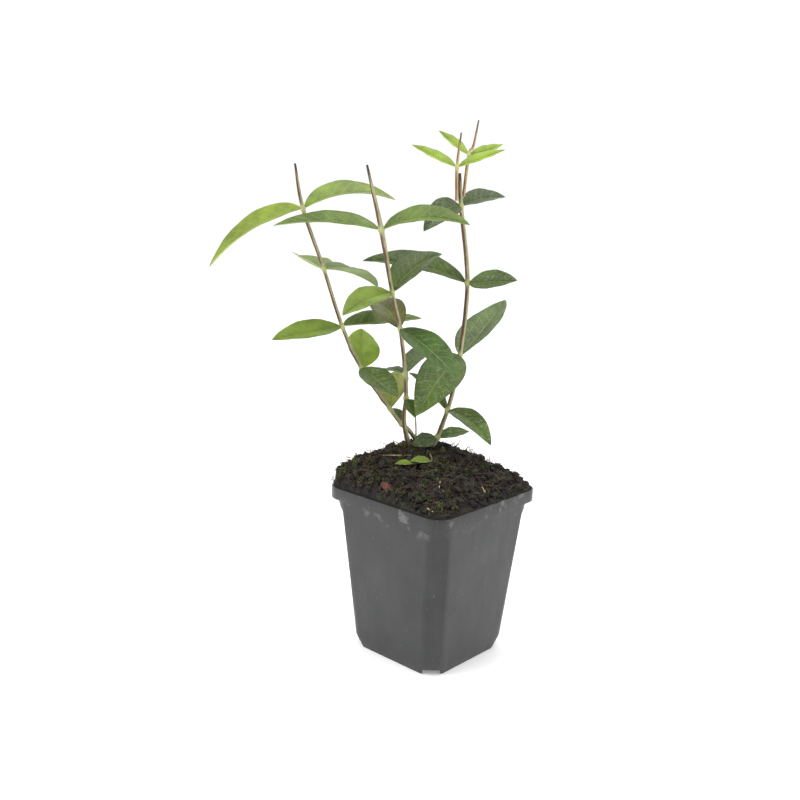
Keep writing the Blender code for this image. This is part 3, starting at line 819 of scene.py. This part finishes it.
def build_crumbs(settings, draw):
    """Loose crumbs of peat over the mound, coarser ones first."""
    bm = bmesh.new()
    coarse_kind = (COARSE_CRUMB_MM, ball_template(3))
    fine_kind = (FINE_CRUMB_MM, ball_template(2))
    for i in range(settings.crumbs):
        sizes, template = coarse_kind if i < settings.crumbs // COARSE_SHARE else fine_kind
        size = draw.uniform(*sizes) * MM
        x, y = soil_place(draw, size + 0.6 * MM)
        height = soil_top(x, y, settings) + size * 0.15
        add_lump(bm, draw, Vector((x, y, height)), size, template)
    crumb = soil_material("peat_crumb", CRUMB_DARK, settings.crumb, CRUMB_FILM)
    add_piece("soil_crumbs", mesh_from(bm, "soil_crumbs"), [crumb], "peat")


def add_thread(bm, path, radius, sides=4, taper=0.4):
    """A thin tapering rod along a path, closed at both ends, its faces laid by hand as a crumb's are."""
    loops = []
    for i, place in enumerate(path):
        ahead = (path[min(i + 1, len(path) - 1)] - path[max(i - 1, 0)]).normalized()
        side = ahead.orthogonal().normalized()
        over = ahead.cross(side)
        size = radius * (1 - (1 - taper) * i / (len(path) - 1))
        loop = []
        for k in range(sides):
            angle = math.tau * k / sides
            loop.append(bm.verts.new(place + (side * math.cos(angle) + over * math.sin(angle)) * size))
        loops.append(loop)
    for lower, upper in zip(loops, loops[1:]):
        shift = min(range(sides), key=lambda s: (lower[0].co - upper[s].co).length)
        for k in range(sides):
            j = (k + 1) % sides
            bm.faces.new((lower[k], lower[j], upper[(j + shift) % sides], upper[(k + shift) % sides]))
    bm.faces.new(list(reversed(loops[0])))
    bm.faces.new(loops[-1])


def fibre_path(settings, draw, length, lift):
    """A crooked path from a place on the mound, lying along it or standing off it."""
    x, y = soil_place(draw, 2.5 * MM)
    heading = draw.uniform(0, math.tau)
    place = Vector((x, y, soil_top(x, y, settings)))
    path = [place]
    slope = lift
    for _ in range(FIBRE_PIECES):
        heading += draw.uniform(-0.5, 0.5)
        slope += draw.uniform(-0.35, 0.25)
        place = place + aim(heading, slope) * length / FIBRE_PIECES
        if max(abs(place.x), abs(place.y)) < LOOSE_LIMIT:
            ground = soil_height(place.x, place.y) + LOOSE_LIFT
            place = Vector((place.x, place.y, max(place.z, ground)))
        elif len(path) > 1:
            break
        path.append(place)
    return path


def build_fibres(settings, draw):
    """The fibres, a batch for each colour."""
    for batch in FIBRES:
        bm = bmesh.new()
        for _ in range(settings.fibres // batch.divisor):
            length = draw.uniform(*batch.lengths_mm) * MM
            path = fibre_path(settings, draw, length, draw.uniform(*batch.lifts))
            add_thread(bm, path, draw.uniform(*batch.radii_mm) * MM)
        material = new_material(batch.material, batch.roughness, batch.color)[0]
        add_piece(batch.name, mesh_from(bm, batch.name), [material], "peat")


def add_moss_blade(bm, place, heading, slope, length):
    """One tiny folded blade of moss."""
    ahead = aim(heading, slope)
    width = length * 0.16
    side = Vector((-math.sin(heading), math.cos(heading), 0)) * width
    up = ahead.cross(side).normalized() * width * 0.5
    middle = place + ahead * length * 0.5 + up
    points = [place, middle + side, place + ahead * length, middle - side, middle + up]
    root, left, tip, right, ridge = [bm.verts.new(point) for point in points]
    for face in ((root, left, ridge), (left, tip, ridge), (tip, right, ridge), (right, root, ridge)):
        bm.faces.new(face)
    bm.faces.new((root, right, tip, left))


def build_moss(settings, draw):
    """Small tufts of moss, thickest towards the front and left, some close inside the rim."""
    spots = list(MOSS_SPOTS_MM)
    for _ in range(settings.tufts):
        x, y = soil_place(draw, 3 * MM)
        if x + y < 20 * MM or draw.random() < 0.4:
            spots.append((x / MM, y / MM, draw.uniform(*MOSS_SPREAD_MM)))
    bm = bmesh.new()
    for x, y, spread in spots:
        for _ in range(round(MOSS_DENSITY * spread)):
            reach = spread * math.sqrt(draw.random())
            angle = draw.uniform(0, math.tau)
            px = max(-LOOSE_LIMIT, min(LOOSE_LIMIT, (x + reach * math.cos(angle)) * MM))
            py = max(-LOOSE_LIMIT, min(LOOSE_LIMIT, (y + reach * math.sin(angle)) * MM))
            place = Vector((px, py, soil_top(px, py, settings) + LOOSE_LIFT))
            length = draw.uniform(*MOSS_BLADE_MM) * MM
            add_moss_blade(bm, place, draw.uniform(0, math.tau), draw.uniform(0.1, 1.3), length)
    moss, shader, surface = new_material("moss", 0.7)
    share = shader.band(shader.noise(shader.place(), 160, 3), 0.35, 0.7)
    shader.feed(surface["Base Color"], shader.mix(share, MOSS_DARK, settings.moss))
    add_piece("moss_tufts", mesh_from(bm, "moss_tufts"), [moss], "leaf_low")


def surface_point(x, y, lift, settings):
    """A point over the mound, its place and its height over the soil given in millimetres."""
    return Vector((x * MM, y * MM, soil_top(x * MM, y * MM, settings) + lift * MM))


def build_rods(settings):
    """The straws, a stick and a dead shoot that lie on the soil."""
    straw, shader, surface = new_material("straw", 0.7)
    share = shader.band(shader.noise(shader.place(), 300, 3), 0.35, 0.7)
    shader.feed(surface["Base Color"], shader.mix(share, STRAW_DARK, STRAW_LIGHT))
    for name, start, end, radius in RODS:
        first = surface_point(*start, settings)
        last = surface_point(*end, settings)
        middle = first.lerp(last, 0.5)
        middle.z = max(middle.z, surface_point(middle.x / MM, middle.y / MM, 0.6, settings).z)
        path = [first, first.lerp(middle, 0.5), middle, middle.lerp(last, 0.5), last]
        bm = bmesh.new()
        add_thread(bm, path, radius * MM, 7, 0.6)
        add_piece(name, mesh_from(bm, name), [straw], "dry_wood")


def build_chip(settings):
    """A chip of bark at the front of the mound."""
    bark, shader, surface = new_material("bark_chip", 0.75)
    share = shader.band(shader.grain(shader.place(), 900, 900, 200, 4), 0.35, 0.7)
    shader.feed(surface["Base Color"], shader.mix(share, CHIP_DARK, CHIP_LIGHT))
    shader.feed(surface["Normal"], shader.bump(share, 0.6, 0.4 * MM))
    bm = bmesh.new()
    add_lump(bm, random.Random(5), Vector((0, 0, 0)), CHIP_SIZE, ball_template(3))
    tilt = Matrix.Rotation(math.radians(55), 3, Vector((1, 0.8, 0)))
    bmesh.ops.scale(bm, verts=bm.verts, vec=CHIP_SQUASH)
    bmesh.ops.rotate(bm, verts=bm.verts, matrix=tilt)
    bmesh.ops.translate(bm, verts=bm.verts, vec=surface_point(*CHIP_PLACE_MM, settings))
    add_piece("bark_chip", mesh_from(bm, "bark_chip"), [bark], "peat")


def build_soil(settings):
    """The mound and everything loose on it."""
    draw = random.Random(settings.seed)
    build_mound(settings)
    build_crumbs(settings, draw)
    build_fibres(settings, draw)
    build_moss(settings, draw)
    build_rods(settings)
    build_chip(settings)


# The stems


def joint_place(joint):
    """Where a joint is, in metres."""
    return Vector((joint.x, joint.y, joint.z)) * MM


def smooth_route(joints, step_mm):
    """Places and radii along a smooth curve through the joints."""
    places = [joint_place(joint) for joint in joints]
    ends = [places[0] * 2 - places[1]] + places + [places[-1] * 2 - places[-2]]
    route = []
    for i in range(len(places) - 1):
        before, start, end, after = ends[i : i + 4]
        steps = max(2, round((end - start).length / (step_mm * MM)))
        for step in range(steps + (i == len(places) - 2)):
            t = step / steps
            push = (end - before) * (t - 2 * t**2 + t**3) + (after - start) * (t**3 - t**2)
            place = start * (1 - 3 * t**2 + 2 * t**3) + end * (3 * t**2 - 2 * t**3) + push / 2
            radius = (joints[i].radius * (1 - t) + joints[i + 1].radius * t) * MM
            route.append((place, radius))
    return route


def stem_material(name, painted_lit_side, shaded, pale, tip):
    """Bark painted pale on its lit side, brown with painted shade on the other, pale at its nodes, dark at
    its end.
    """
    material, shader, surface = new_material(name, 0.55)
    place = shader.place()
    # Painted light and shade: the bark turns from the shaded brown to the pale lit colour as it faces
    # BARK_LIT_FROM; the brown is partly the bark's own colour
    normal = shader.node("ShaderNodeTexCoord").outputs["Normal"]
    facing = shader.node("ShaderNodeVectorMath", {0: normal, 1: BARK_LIT_FROM}, operation="DOT_PRODUCT")
    wander = shader.times(shader.math("SUBTRACT", shader.noise(place, 70, 3), 0.5), 1.6)
    lit = shader.band(shader.math("ADD", facing.outputs["Value"], wander), -0.25, 0.45)
    base = shader.mix(lit, shaded, painted_lit_side)
    streak = shader.grain(place, 1600, 1600, 130, 3)
    base = shader.mix(shader.band(streak, 0.45, 0.75, 0, 0.45), base, tone(shaded, 0.6))
    base = shader.mix(shader.times(shader.attribute("at_node"), 0.85), base, pale)
    base = shader.mix(shader.attribute("at_tip"), base, tip)
    shader.feed(surface["Base Color"], base)
    shader.feed(surface["Normal"], shader.bump(streak, 0.35, 0.25 * MM))
    return material


def build_stem(name, settings, material, slot):
    """One tapering stem with ridged bark, swollen joints and a rounded dry end."""
    joints = STEMS[name]
    route = smooth_route(joints, STEM_STEP_MM)
    if route[0][0].z < GROUND - ROOTED:
        route = [entry for entry in route if entry[0].z > GROUND - BURIED]
    nodes = [joint_place(joint) for joint in joints if joint.pair]
    end = route[-1][0]
    rings = []
    marks = []
    side = Vector((1, 0, 0))
    for i, (place, radius) in enumerate(route):
        ahead = (route[min(i + 1, len(route) - 1)][0] - route[max(i - 1, 0)][0]).normalized()
        side = (side - ahead * side.dot(ahead)).normalized()
        over = ahead.cross(side)
        nearest = min(((place - node).length for node in nodes), default=1)
        swell = math.exp(-((nearest / NODE_LENGTH) ** 2))
        dry = max(0, 1 - (place - end).length / TIP_LENGTH) if name != "twig_dry" else 0
        size = radius * (1 + NODE_SWELL * swell) * (1 - TIP_SHRINK * dry)
        ring = []
        for k in range(STEM_SIDES):
            angle = math.tau * k / STEM_SIDES
            out = side * math.cos(angle) + over * math.sin(angle)
            ridge = noise.noise(Vector((math.cos(angle) * 3, math.sin(angle) * 3, i * 0.12)))
            ring.append(place + out * (size + settings.relief * 2 * ridge))
        rings.append(ring)
        marks.append((math.exp(-((nearest / (2 * NODE_LENGTH)) ** 2)), min(1, dry * 1.6)))
    bm = bmesh.new()
    at_node = bm.verts.layers.float.new("at_node")
    at_tip = bm.verts.layers.float.new("at_tip")
    for loop, mark in zip(stack_rings(bm, rings), marks):
        for vert in loop:
            vert[at_node], vert[at_tip] = mark
    add_piece(name + "_bark", mesh_from(bm, name + "_bark", STEM_SHARP), [material], slot, name)


def build_stems(settings):
    """All stems, shoots and the dead twig."""
    # Each bark gets a painted lit side and a painted shaded side, besides its pale joints and dry end
    lower = stem_material("bark", settings.painted_lit_side, settings.shaded, BARK_NODE, BARK_TIP)
    young = stem_material("bark_young", *YOUNG_BARK)
    dry = stem_material("bark_dry", *DRY_BARK)
    kinds = {"stem": (lower, "stem_wood"), "shoot": (young, "stem_wood"), "twig": (dry, "dry_wood")}
    for name in STEMS:
        build_stem(name, settings, *kinds[name.split("_")[0]])


# The leaves


def blade_width(share):
    """Half the width of a leaf along its length, as a share of its widest."""
    return math.sin(math.pi * min(share, 1) ** 0.85) ** 0.8


def vein_lift(share, across):
    """How far the blade swells between its veins, from 0 at a vein to 1."""
    phase = (share * VEIN_PAIRS - abs(across) * VEIN_SLANT + 0.3) % 1
    middle = min(1, abs(across) / 0.12)
    return math.sin(math.pi * phase) ** 0.6 * middle


def midrib_route(leaf, root, steps):
    """Each place along a leaf's bent midrib, with its sideways and upward directions there."""
    heading = math.radians(leaf.heading)
    left = Vector((-math.sin(heading), math.cos(heading), 0))
    step = leaf.length * MM / steps
    place = root.copy()
    route = []
    for i in range(steps + 1):
        if i:
            place = place + aim(heading, math.radians(leaf.rise - leaf.droop * (i - 0.5) / steps)) * step
        along = aim(heading, math.radians(leaf.rise - leaf.droop * i / steps))
        side = Matrix.Rotation(math.radians(leaf.roll), 3, along) @ left
        route.append((place, side, along.cross(side)))
    return route


def blade_point(leaf, spot, share, across, settings):
    """The middle of the blade at a point of its grid, and the way from there to its upper skin."""
    place, side, up = spot
    reach = abs(across)
    fold = math.radians(LEAF_FOLD)
    narrow = LEAF_ROOT * (1 - share) + LEAF_TIP * share
    half = max(leaf.width * MM / 2 * blade_width(share), narrow)
    body = min(1, half / FULL_BODY)
    rise = reach * half * math.sin(fold) * (1.12 - 0.12 * reach)
    # The heading only sets where the wave starts, so that no two leaves are alike
    wave = settings.wave * reach**3 * math.sin(share * WAVE_TURNS + leaf.heading + (2 if across > 0 else 0))
    groove = -GROOVE * math.exp(-((across / 0.05) ** 2))
    relief = (settings.quilt * vein_lift(share, across) + groove + wave) * body
    thick = settings.thickness / 2 * (1 - 0.75 * reach**4) * max(0.35, body)
    if reach < MIDRIB_HALF:
        thick += MIDRIB * (1 - share) * body
    return place + side * across * half * math.cos(fold) + up * (rise + relief), up * thick


def finish_faces(faces, layers, slot, first_v):
    """Gives faces of a leaf their material and their strip of the UV map."""
    along, across, uv = layers
    for face in faces:
        face.material_index = slot
        for loop in face.loops:
            u = 0.01 + 0.98 * loop.vert[along]
            loop[uv].uv = (u, first_v + 0.21 * (loop.vert[across] + 1) / 2)


def add_blade(bm, layers, leaf, root, settings, index):
    """One leaf: two grids bent along its midrib, folded, waved and veined, and joined round the edge."""
    along, across, _ = layers
    steps = max(FEWEST_STEPS, round(settings.steps * min(1, leaf.length / FULL_STEPS_MM)))
    route = midrib_route(leaf, root, steps)
    under_v = 0.5 * index + 0.27
    for skin, slot, first_v in ((1, 2 * index, under_v - 0.25), (-1, 2 * index + 1, under_v)):
        grid = bmesh.ops.create_grid(bm, x_segments=steps, y_segments=len(BLADE_LINES) - 1, size=1)["verts"]
        for k, vert in enumerate(grid):
            line, i = divmod(k, steps + 1)
            vert[along] = i / steps
            vert[across] = BLADE_LINES[line]
            center, thick = blade_point(leaf, route[i], i / steps, BLADE_LINES[line], settings)
            vert.co = center + thick * skin
        finish_faces({face for vert in grid for face in vert.link_faces}, layers, slot, first_v)
    rim = bmesh.ops.bridge_loops(bm, edges=[edge for edge in bm.edges if edge.is_boundary])
    finish_faces(rim["faces"], layers, 2 * index + 1, under_v)


def leaf_pattern():
    """The shared leaf effect: midrib and side veins, flecks, and a height for the relief."""
    if "Leaf pattern" in bpy.data.node_groups:
        return bpy.data.node_groups["Leaf pattern"]
    group = bpy.data.node_groups.new("Leaf pattern", "ShaderNodeTree")
    for name, kind in (("Along", "Float"), ("Across", "Float"), ("Place", "Vector")):
        group.interface.new_socket(name, in_out="INPUT", socket_type="NodeSocket" + kind)
    for name in ("Vein", "Fleck", "Cloud", "Margin", "Height"):
        group.interface.new_socket(name, in_out="OUTPUT", socket_type="NodeSocketFloat")
    shader = Shader(group)
    entry = shader.node("NodeGroupInput")
    along, across, place = entry.outputs[0], entry.outputs[1], entry.outputs[2]
    reach = shader.math("ABSOLUTE", across)
    midrib = shader.band(reach, 0.025, 0.075, 1, 0)
    phase = shader.math("SUBTRACT", shader.times(along, VEIN_PAIRS), shader.times(reach, VEIN_SLANT))
    phase = shader.math("FRACT", shader.math("ADD", phase, 10.3))
    near = shader.math("MINIMUM", phase, shader.math("SUBTRACT", 1.0, phase))
    side_vein = shader.times(shader.band(near, 0.03, 0.11, 1, 0), shader.band(reach, 0.6, 0.95, 1, 0))
    net = shader.node("ShaderNodeTexVoronoi", {"Vector": place, "Scale": 520}, feature="DISTANCE_TO_EDGE")
    web = shader.band(net.outputs["Distance"], 0.02, 0.1, 1, 0)
    vein = shader.math("MAXIMUM", midrib, shader.times(side_vein, 0.55))
    vein = shader.math("MAXIMUM", vein, shader.times(web, 0.22))
    speck = shader.band(shader.noise(place, 1100, 2, 0.6), 0.6, 0.7)
    blotch = shader.band(shader.noise(place, 330, 4, 0.7), 0.55, 0.68)
    results = {
        "Vein": vein,
        "Fleck": shader.math("MAXIMUM", speck, shader.times(blotch, 0.7)),
        "Cloud": shader.noise(place, 75, 3),
        "Margin": shader.band(reach, 0.82, 1.0),
        "Height": shader.math("SUBTRACT", shader.times(shader.noise(place, 900, 3), 0.25), vein),
    }
    shader.node("NodeGroupOutput", results)
    return group


def leaf_material(name, tint, side, settings):
    """One side of a leaf, with its veins, its flecks and, in autumn colour, a red margin."""
    top, under, flecks = TINTS[tint]
    upper = side == "top"
    color = top if upper else under
    material, shader, surface = new_material(name, 0.4 if upper else 0.6)
    shader.feed(surface["Specular IOR Level"], LEAF_SPECULAR)
    across = shader.attribute("across")
    inputs = {"Along": shader.attribute("along"), "Across": across, "Place": shader.place()}
    pattern = shader.node("ShaderNodeGroup", node_tree=leaf_pattern())
    for key, value in inputs.items():
        shader.feed(pattern.inputs[key], value)
    vein, fleck, cloud, margin, height = pattern.outputs
    pale = tuple(0.45 * own + 0.55 * vein_color for own, vein_color in zip(color, settings.vein))
    base = shader.mix(shader.band(cloud, 0.32, 0.7), tone(color, 0.72), tone(color, 1.22))
    base = shader.mix(shader.times(vein, 0.5 if upper else 0.3), base, pale)
    amount = flecks if upper else 0.25 * flecks
    base = shader.mix(shader.times(fleck, amount * 0.6), base, settings.fleck)
    if tint == "autumn":
        edge = shader.times(margin, shader.band(across, -0.2, 0.3))
        base = shader.mix(shader.times(edge, 0.8), base, settings.margin)
    shader.feed(surface["Base Color"], base)
    shader.feed(surface["Normal"], shader.bump(height, 0.35 if upper else 0.2, 0.25 * MM))
    return material


def leaf_materials(tint, settings):
    """The upper side and the paler underside of leaves of one tint, each made once."""
    made = []
    for side in ("top", "under"):
        name = f"leaf_{tint}_{side}"
        made.append(bpy.data.materials.get(name) or leaf_material(name, tint, side, settings))
    return made


def add_leaf_piece(name, blades, settings, slot, node):
    """A piece of one or two leaves, each with its own place in the UV map."""
    bm = bmesh.new()
    layers = (
        bm.verts.layers.float.new("along"),
        bm.verts.layers.float.new("across"),
        bm.loops.layers.uv.new("OFBake"),
    )
    materials = []
    for index, (leaf, root) in enumerate(blades):
        add_blade(bm, layers, leaf, root, settings, index)
        materials += leaf_materials(leaf.tint, settings)
    add_piece(name, mesh_from(bm, name), materials, slot, node)


def stem_direction(joints, index):
    """The way a stem grows through one of its joints."""
    before = joints[max(index - 1, 0)]
    after = joints[min(index + 1, len(joints) - 1)]
    return Vector((after.x - before.x, after.y - before.y, after.z - before.z)).normalized()


def build_sprig(settings):
    """The little sprig that lies on the soil: its stalk and two leaves."""
    bm = bmesh.new()
    add_thread(bm, [place for place, _ in smooth_route(SPRIG, 2)], 0.5 * MM, 8, 0.7)
    material = new_material("sprig_stalk", 0.6, (0.16, 0.12, 0.05))[0]
    add_piece("sprig_stalk", mesh_from(bm, "sprig_stalk"), [material], "stem_wood")
    blades = [(leaf, joint_place(joint)) for joint, leaf in zip(SPRIG[1:], SPRIG_LEAVES)]
    add_leaf_piece("sprig_blades", blades, settings, "leaf_low", "sprig_low")


def build_leaves(settings):
    """Every pair of leaves, each leaf standing on its stem, and the sprig."""
    for name, leaves in LEAVES.items():
        _, stem, pair = name.split("_")
        joints = STEMS[LEAF_STEM[stem]]
        index = [joint.pair for joint in joints].index(int(pair))
        joint = joints[index]
        direction = stem_direction(joints, index)
        solid_reach = joint.radius * MM * (1 + SOLID_SWELL) + COLLAR_GAP + LEAF_SINK
        reach = joint.radius * MM * LEAF_HOLD
        blades = []
        for leaf in leaves:
            outward = aim(math.radians(leaf.heading), 0)
            outward = (outward - direction * outward.dot(direction)).normalized()
            longer = leaf._replace(length=leaf.length + (solid_reach - reach) / MM)
            blades.append((longer, joint_place(joint) + outward * reach))
        add_leaf_piece(name + "_blades", blades, settings, "leaf_top" if pair == "1" else "leaf_low", name)
    build_sprig(settings)


# The stage


def add_area(name, place, target, size, power):
    """A square soft light aimed at a point."""
    light = bpy.data.lights.new(name, "AREA")
    light.size = size
    light.energy = power
    thing = link_object(name, light)
    thing.location = place
    thing.rotation_euler = (Vector(target) - Vector(place)).to_track_quat("-Z", "Y").to_euler()


def add_camera(settings):
    """The camera as the photograph was taken."""
    center = Vector((math.sin(settings.azimuth), -math.cos(settings.azimuth), 0)) * settings.distance
    center.z = settings.height
    turn = settings.azimuth + settings.yaw
    flat = math.cos(settings.pitch)
    back = Vector((math.sin(turn) * flat, -math.cos(turn) * flat, math.sin(settings.pitch)))
    right = Vector((math.cos(turn), math.sin(turn), 0))
    up = back.cross(right)
    rolled_right = right * math.cos(settings.roll) + up * math.sin(settings.roll)
    rolled_up = -right * math.sin(settings.roll) + up * math.cos(settings.roll)
    data = bpy.data.cameras.new("camera")
    data.sensor_width = 36
    data.lens = settings.lens
    data.clip_start = 10 * MM
    camera = link_object("camera", data)
    axes = Matrix((rolled_right, rolled_up, back)).transposed().to_4x4()
    camera.matrix_world = Matrix.Translation(center) @ axes
    bpy.context.scene.camera = camera


def add_floor():
    """A plain pale floor."""
    bm = bmesh.new()
    bmesh.ops.create_grid(bm, x_segments=1, y_segments=1, size=FLOOR_HALF)
    floor = link_object("floor", mesh_from(bm, "floor"))
    paper, shader, surface = new_material("floor", 0.9, PAPER)
    shader.feed(surface["Emission Color"], WHITE)
    shader.feed(surface["Emission Strength"], FLOOR_GLOW)
    floor.data.materials.append(paper)


def add_sky(settings):
    """Soft light all round, weaker from the camera's side, and white where the camera sees it."""
    world = bpy.data.worlds.new("studio")
    world.use_nodes = True
    sky = Shader(world.node_tree)
    front = (math.sin(settings.azimuth), -math.cos(settings.azimuth), 0.1)
    direction = sky.node("ShaderNodeTexCoord").outputs["Generated"]
    facing = sky.node("ShaderNodeVectorMath", {0: direction, 1: front}, operation="DOT_PRODUCT")
    shade = sky.band(facing.outputs["Value"], 0.2, 0.9, SKY_BACK, SKY_FRONT)
    seen = sky.node("ShaderNodeLightPath").outputs["Is Camera Ray"]
    background = world.node_tree.nodes["Background"].inputs
    sky.feed(background["Strength"], sky.math("MAXIMUM", shade, seen))
    sky.feed(background["Color"], WHITE)
    bpy.context.scene.world = world


def build_stage(settings):
    """The camera, the soft light and the pale floor."""
    add_camera(settings)
    add_floor()
    add_sky(settings)
    for light in LIGHTS:
        add_area(*light)
    bpy.context.scene.view_settings.view_transform = "Standard"


# The add-on


class SHRUB_OT_add_stage(bpy.types.Operator):
    """Builds the camera, the light and the floor."""

    bl_idname = "shrub.add_stage"
    bl_label = "Add stage"
    bl_options = {"REGISTER", "UNDO"}

    def execute(self, context):
        build_stage(context.scene.shrub_stage)
        return {"FINISHED"}


class SHRUB_OT_add_pot(bpy.types.Operator):
    """Builds the pot."""

    bl_idname = "shrub.add_pot"
    bl_label = "Add pot"
    bl_options = {"REGISTER", "UNDO"}

    def execute(self, context):
        build_pot(context.scene.shrub_pot)
        return {"FINISHED"}


class SHRUB_OT_add_soil(bpy.types.Operator):
    """Builds the soil and what lies on it."""

    bl_idname = "shrub.add_soil"
    bl_label = "Add soil"
    bl_options = {"REGISTER", "UNDO"}

    def execute(self, context):
        build_soil(context.scene.shrub_soil)
        return {"FINISHED"}


class SHRUB_OT_add_stems(bpy.types.Operator):
    """Builds the stems, the shoots and the dead twig."""

    bl_idname = "shrub.add_stems"
    bl_label = "Add stems"
    bl_options = {"REGISTER", "UNDO"}

    def execute(self, context):
        build_stems(context.scene.shrub_stems)
        return {"FINISHED"}


class SHRUB_OT_add_leaves(bpy.types.Operator):
    """Builds every pair of leaves and the sprig."""

    bl_idname = "shrub.add_leaves"
    bl_label = "Add leaves"
    bl_options = {"REGISTER", "UNDO"}

    def execute(self, context):
        build_leaves(context.scene.shrub_leaves)
        return {"FINISHED"}


# Each group of settings by its name on the scene, with the operator that uses it
GROUPS = {
    "shrub_stage": (StageSettings, SHRUB_OT_add_stage),
    "shrub_pot": (PotSettings, SHRUB_OT_add_pot),
    "shrub_soil": (SoilSettings, SHRUB_OT_add_soil),
    "shrub_stems": (StemSettings, SHRUB_OT_add_stems),
    "shrub_leaves": (LeafSettings, SHRUB_OT_add_leaves),
}


class SHRUB_PT_panel(bpy.types.Panel):
    """The add-on's panel in the sidebar of the 3D view."""

    bl_idname = "SHRUB_PT_panel"
    bl_label = "Potted shrub"
    bl_space_type = "VIEW_3D"
    bl_region_type = "UI"
    bl_category = "Shrub"

    def draw(self, context):
        for name, (settings, operator) in GROUPS.items():
            box = self.layout.box()
            for field in settings.__annotations__:
                box.prop(getattr(context.scene, name), field)
            box.operator(operator.bl_idname)


def register():
    """Makes the settings, the operators and the panel known."""
    for name, (settings, operator) in GROUPS.items():
        bpy.utils.register_class(settings)
        setattr(bpy.types.Scene, name, bpy.props.PointerProperty(type=settings))
        bpy.utils.register_class(operator)
    bpy.utils.register_class(SHRUB_PT_panel)


def unregister():
    """Takes them away again."""
    bpy.utils.unregister_class(SHRUB_PT_panel)
    for name, (settings, operator) in reversed(GROUPS.items()):
        bpy.utils.unregister_class(operator)
        delattr(bpy.types.Scene, name)
        bpy.utils.unregister_class(settings)


def main():
    """Builds every piece in order."""
    register()
    bpy.ops.shrub.add_stage()
    bpy.ops.shrub.add_pot()
    bpy.ops.shrub.add_soil()
    bpy.ops.shrub.add_stems()
    bpy.ops.shrub.add_leaves()


if __name__ == "__main__":
    main()
